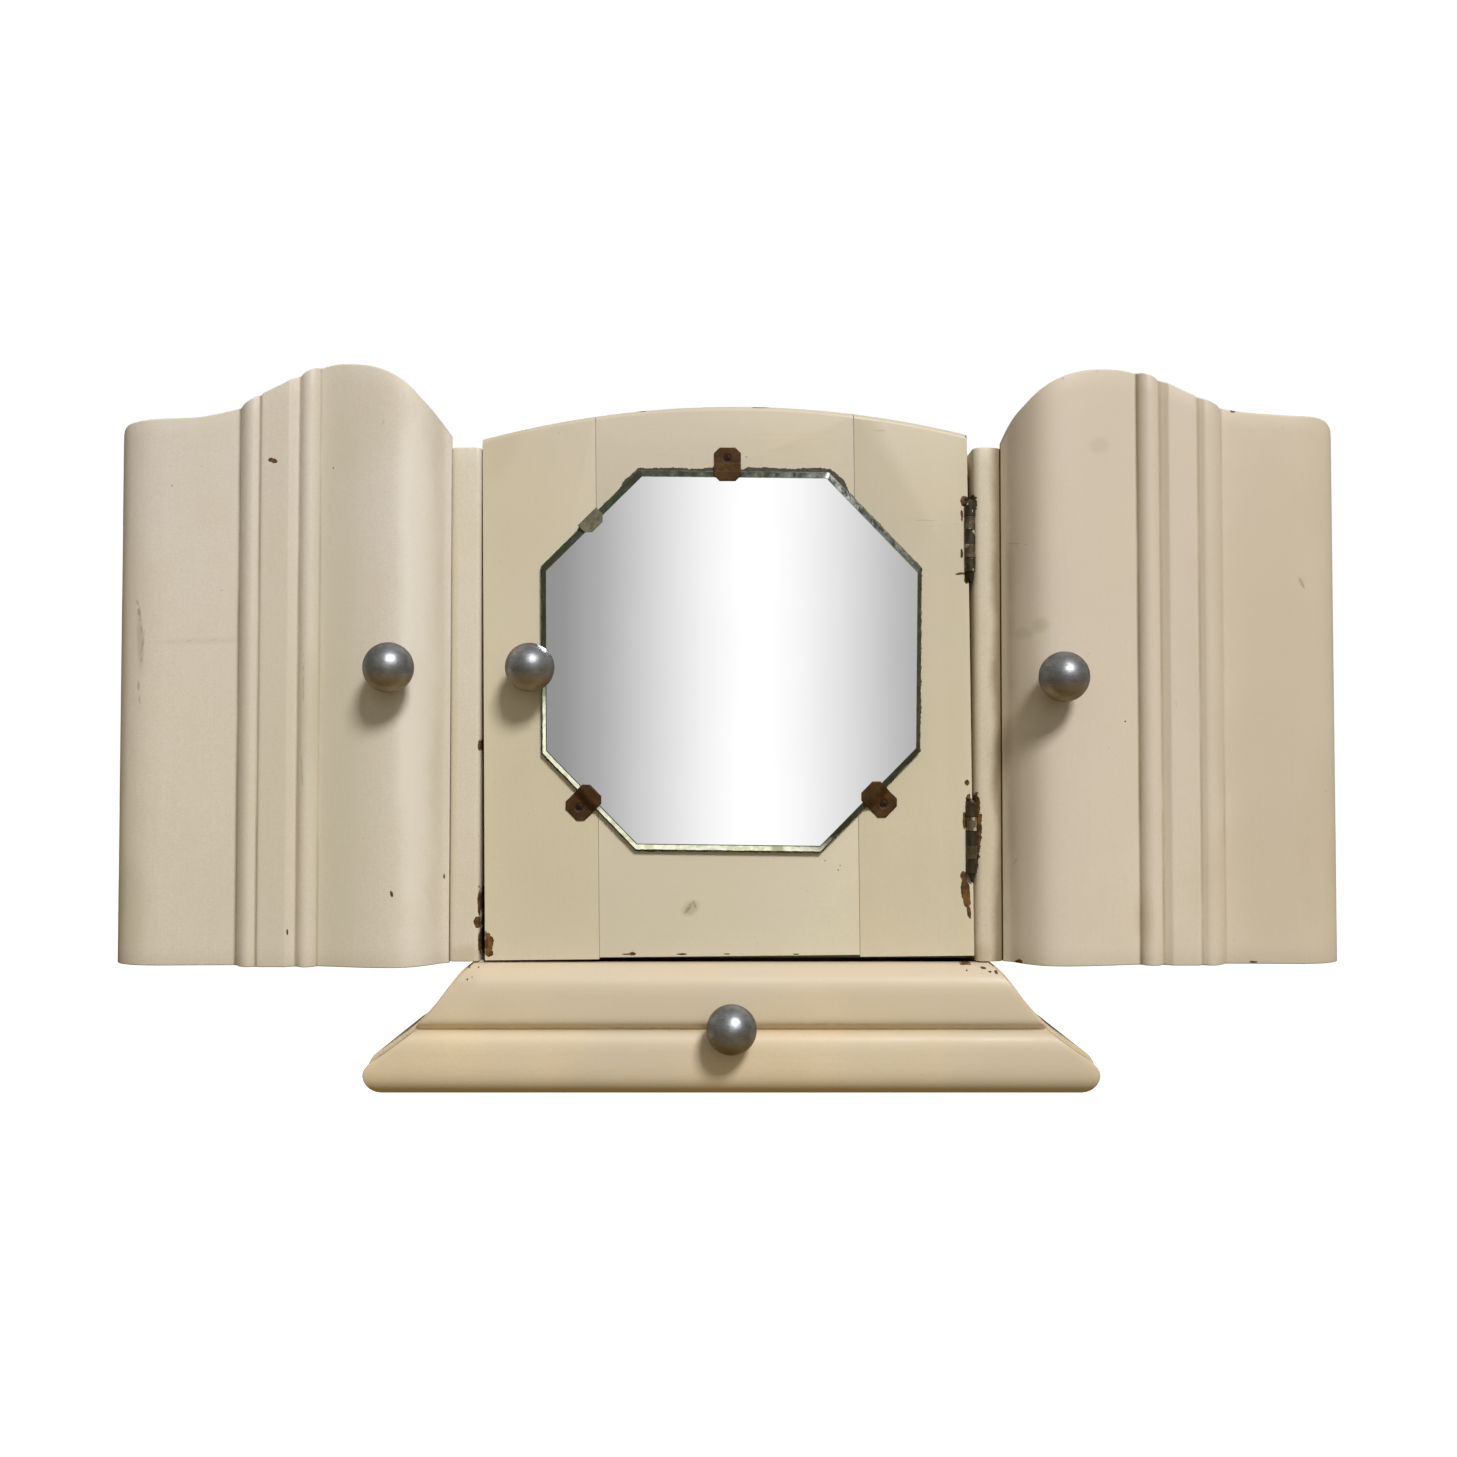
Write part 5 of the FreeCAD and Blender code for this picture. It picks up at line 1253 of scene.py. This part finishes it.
def clip_mesh(seed, x, z, ang, base):
    """One bent clip: tab over the glass, eased joggle, foot dished around its screw."""
    vs = [-CLIP_IN + (CLIP_IN + CLIP_OUT) * i / 56.0 for i in range(57)]
    nh = 36
    front, back = [], []
    for i, v in enumerate(vs):
        over = max(0.0, v - (CLIP_OUT - CLIP_C), (-CLIP_IN + CLIP_C) - v)
        hw = CLIP_HW - over + 0.12 * noise.noise(Vector((v * 0.35, seed, 0.0)))
        for j in range(nh + 1):
            h = hw * (2.0 * j / nh - 1.0)
            k = min(1.0, max(0.0, (v + 2.4) / 6.4))
            k = k * k * (3.0 - 2.0 * k)
            y = -134.4 + 4.5 * k
            edge = min(hw - abs(h), v + CLIP_IN, CLIP_OUT - v)
            roll = max(0.0, 1.0 - edge / 0.6)
            d = math.hypot(h, v - CLIP_SCREW)
            dish = max(0.0, 1.0 - d / 3.1)
            w = 0.07 * noise.noise(Vector((h * 0.4, v * 0.4, seed * 3.0)))
            yo = y + 0.28 * roll * roll + 0.75 * min(1.0, dish * 1.8) + w
            front.append(clip_turn(x, z, ang, h, yo, v))
            back.append(clip_turn(x, z, ang, h, min(y + 0.9, DOOR_FRONT - 0.02) if k > 0.999 else y + 0.9, v))
    verts = front + back
    o = len(front)
    n = nh + 1
    m = len(vs)
    faces = []
    for i in range(m - 1):
        for j in range(nh):
            a = i * n + j
            faces.append((a, a + 1, a + n + 1, a + n))
            faces.append((o + a, o + a + n, o + a + n + 1, o + a + 1))
        a, b2 = i * n, i * n + nh
        faces.append((a, a + n, o + a + n, o + a))
        faces.append((b2, o + b2, o + b2 + n, b2 + n))
    for j in range(nh):
        a, b2 = j, (m - 1) * n + j
        faces.append((a, o + a, o + a + 1, a + 1))
        faces.append((b2, b2 + 1, o + b2 + 1, o + b2))
    return [(q[0], q[1] + base, q[2]) for q in verts], faces


def screw_mesh(x, z, ang, base, slot_ang):
    """Small round head with a cut slot on a tapered shank, set down in the clip's dish."""
    verts, faces = [], []
    seg, rings = 72, 20
    ca, sa = math.cos(math.radians(slot_ang)), math.sin(math.radians(slot_ang))
    for r in range(1, rings + 1):
        rad = 2.15 * r / rings
        for q in range(seg):
            t = 2 * math.pi * q / seg
            h, v = rad * math.cos(t), rad * math.sin(t)
            y = -129.45 - 0.42 * (1.0 - (rad / 2.15) ** 2)
            if abs(h * ca + v * sa) < 0.42:
                y += 0.55
            verts.append(clip_turn(x, z, ang, h, y + base, CLIP_SCREW + v))
    for rad, y in ((1.35, -128.8), (1.2, -127.0), (0.5, -119.5)):
        for q in range(seg):
            t = 2 * math.pi * q / seg
            verts.append(clip_turn(x, z, ang, rad * math.cos(t), y + base, CLIP_SCREW + rad * math.sin(t)))
    for r in range(rings + 2):
        for q in range(seg):
            k = (q + 1) % seg
            faces.append((r * seg + q, r * seg + k, (r + 1) * seg + k, (r + 1) * seg + q))
    c = len(verts)
    verts.append(clip_turn(x, z, ang, 0.0, -129.45 - 0.42 + 0.55 + base, CLIP_SCREW))
    verts.append(clip_turn(x, z, ang, 0.0, -118.9 + base, CLIP_SCREW))
    for q in range(seg):
        k = (q + 1) % seg
        faces.append((q, c, k))
        faces.append(((rings + 2) * seg + q, (rings + 2) * seg + k, c + 1))
    return verts, faces


def joined(items):
    verts, faces = [], []
    for v, f in items:
        o = len(verts)
        verts += v
        faces += [tuple(i + o for i in q) for q in f]
    return verts, faces


v, f = joined([clip_mesh(i * 1.7 + 0.3, x, z, a, base) for i, (x, z, a, base) in enumerate(CLIPS)])
place(make("glass_clips", v, f, [rust_clip], "mirror_door", angle=40.0), "mirror_door", ["mirror_clips"])
v, f = joined([screw_mesh(x, z, a, base, sl) for (x, z, a, base), sl in zip(CLIPS + [CLIP_PAINTED], (18.0, 62.0, -35.0, 10.0))])
place(make("glass_clip_screws", v, f, [rust_and_shade_screw], "mirror_door", angle=30.0), "mirror_door", ["clip_screws"])

# =====================================================================  carried-over nodes: finishes and eased arrises
FINISH = {
    "back_panel": ply, "hanging_rail": pine, "outer_side_left": paint_case_v, "outer_side_right": paint_case_v,
    "center_top": paint_case, "center_bottom": paint_case, "left_top": paint_case, "left_bottom": paint_case,
    "right_top": paint_case, "right_bottom": paint_case, "center_shelf": paint_in, "left_shelf": paint_in,
    "right_shelf": paint_in, "shelf_cleats": pine_y, "base_cheek_left": paint_case, "base_cheek_right": paint_case,
    "base_board": paint_case, "base_back": ply, "drawer_guides": pine_y, "door_center_panel": pine_v,
    "drawer_sides": pine_y, "drawer_back": pine, "drawer_bottom": ply, "door_catches": brass,
    "mirror_hinge_frame_leaves": rust_hinge, "mirror_hinge_door_leaves": rust_door_leaf, "mirror_door_hinge_screws": rust_hinge,
    "hinge_pins": rust_hinge, "frame_hinge_screws": rust_hinge, "side_hinge_frame_leaves": rust_side,
    "left_door_hinge_leaves": rust_side, "right_door_hinge_leaves": rust_side, "left_door_hinge_screws": rust_side,
    "right_door_hinge_screws": rust_side, 
    "mirror_clip_painted": clip_paint, "mirror_door_strike": brass, "left_door_strike": brass, "right_door_strike": brass,
    "mirror_door_knob_screw": zinc, "left_door_knob_screw": zinc, "right_door_knob_screw": zinc, "drawer_knob_screw": zinc,
}
EASE = {"wood": 0.7, "thin": 0.16}
for name, ob in NODES.items():
    if name not in FINISH:
        continue
    mat = FINISH[name]
    if not ob.material_slots:
        ob.data.materials.append(mat)
    for s in ob.material_slots:
        s.link = "OBJECT"
        s.material = mat
    woody = mat.name.startswith(("paint_", "pine", "ply"))
    if name in ("mirror_clips", "mirror_clip_painted") or woody:
        bv = ob.modifiers.new("eased", "BEVEL")
        bv.width = (EASE["wood"] if woody else EASE["thin"]) * MM
        bv.segments = 2
        bv.limit_method = "ANGLE"
        bv.angle_limit = math.radians(50.0)
        bv.use_clamp_overlap = True

# =====================================================================  stage
def stage_plane(name, pts, mat):
    me = bpy.data.meshes.new(name)
    me.from_pydata(pts, [], [(0, 1, 2, 3)])
    me.materials.append(mat)
    o = bpy.data.objects.new(name, me)
    scene.collection.objects.link(o)
    return o


t = Tree("floor_white")
t.bsdf.inputs["Base Color"].default_value = (0.95, 0.95, 0.95, 1)
t.bsdf.inputs["Roughness"].default_value = 0.9
t.bsdf.inputs["Emission Color"].default_value = (1, 1, 1, 1)
t.bsdf.inputs["Emission Strength"].default_value = 0.75
floor = stage_plane("floor", [(-12, -12, -0.9), (12, -12, -0.9), (12, 12, -0.9), (-12, 12, -0.9)], t.mat)
floor.visible_diffuse = False
floor.visible_glossy = False
floor.visible_shadow = False

# a softly graded studio card in front of the cabinet, there for its reflections
t = Tree("card_gradient")
ramp = t.t.nodes.new("ShaderNodeValToRGB")
mr = t.t.nodes.new("ShaderNodeMapRange")
t.link(t.x, mr.inputs["Value"])
mr.inputs["From Min"].default_value = -0.50
mr.inputs["From Max"].default_value = 0.50
t.link(mr.outputs[0], ramp.inputs[0])
el = ramp.color_ramp.elements


def g(v):
    c = lin(v, v, v)[0] / 0.95
    return (c, c, c, 1)


stops = [(-0.42, 144), (-0.365, 149), (-0.277, 176), (-0.17, 212), (-0.0595, 241), (0.03, 256), (0.08, 257), (0.157, 247), (0.27, 221), (0.38, 187), (0.43, 176)]
el[0].position = 0.0
el[0].color = g(138)
el[1].position = 1.0
el[1].color = g(176)
for x, v in stops:
    e = el.new((x + 0.5) / 1.0)
    e.color = g(v)
em = t.t.nodes.new("ShaderNodeEmission")
t.link(ramp.outputs[0], em.inputs[0])
em.inputs[1].default_value = 1.0
t.link(em.outputs[0], t.out.inputs[0])
t.mat.cycles.emission_sampling = "NONE"
card = stage_plane("card", [(-0.5, -2.5, -0.5), (0.5, -2.5, -0.5), (0.5, -2.5, 0.62), (-0.5, -2.5, 0.62)], t.mat)
card.visible_camera = False
card.visible_diffuse = False
card.visible_shadow = False
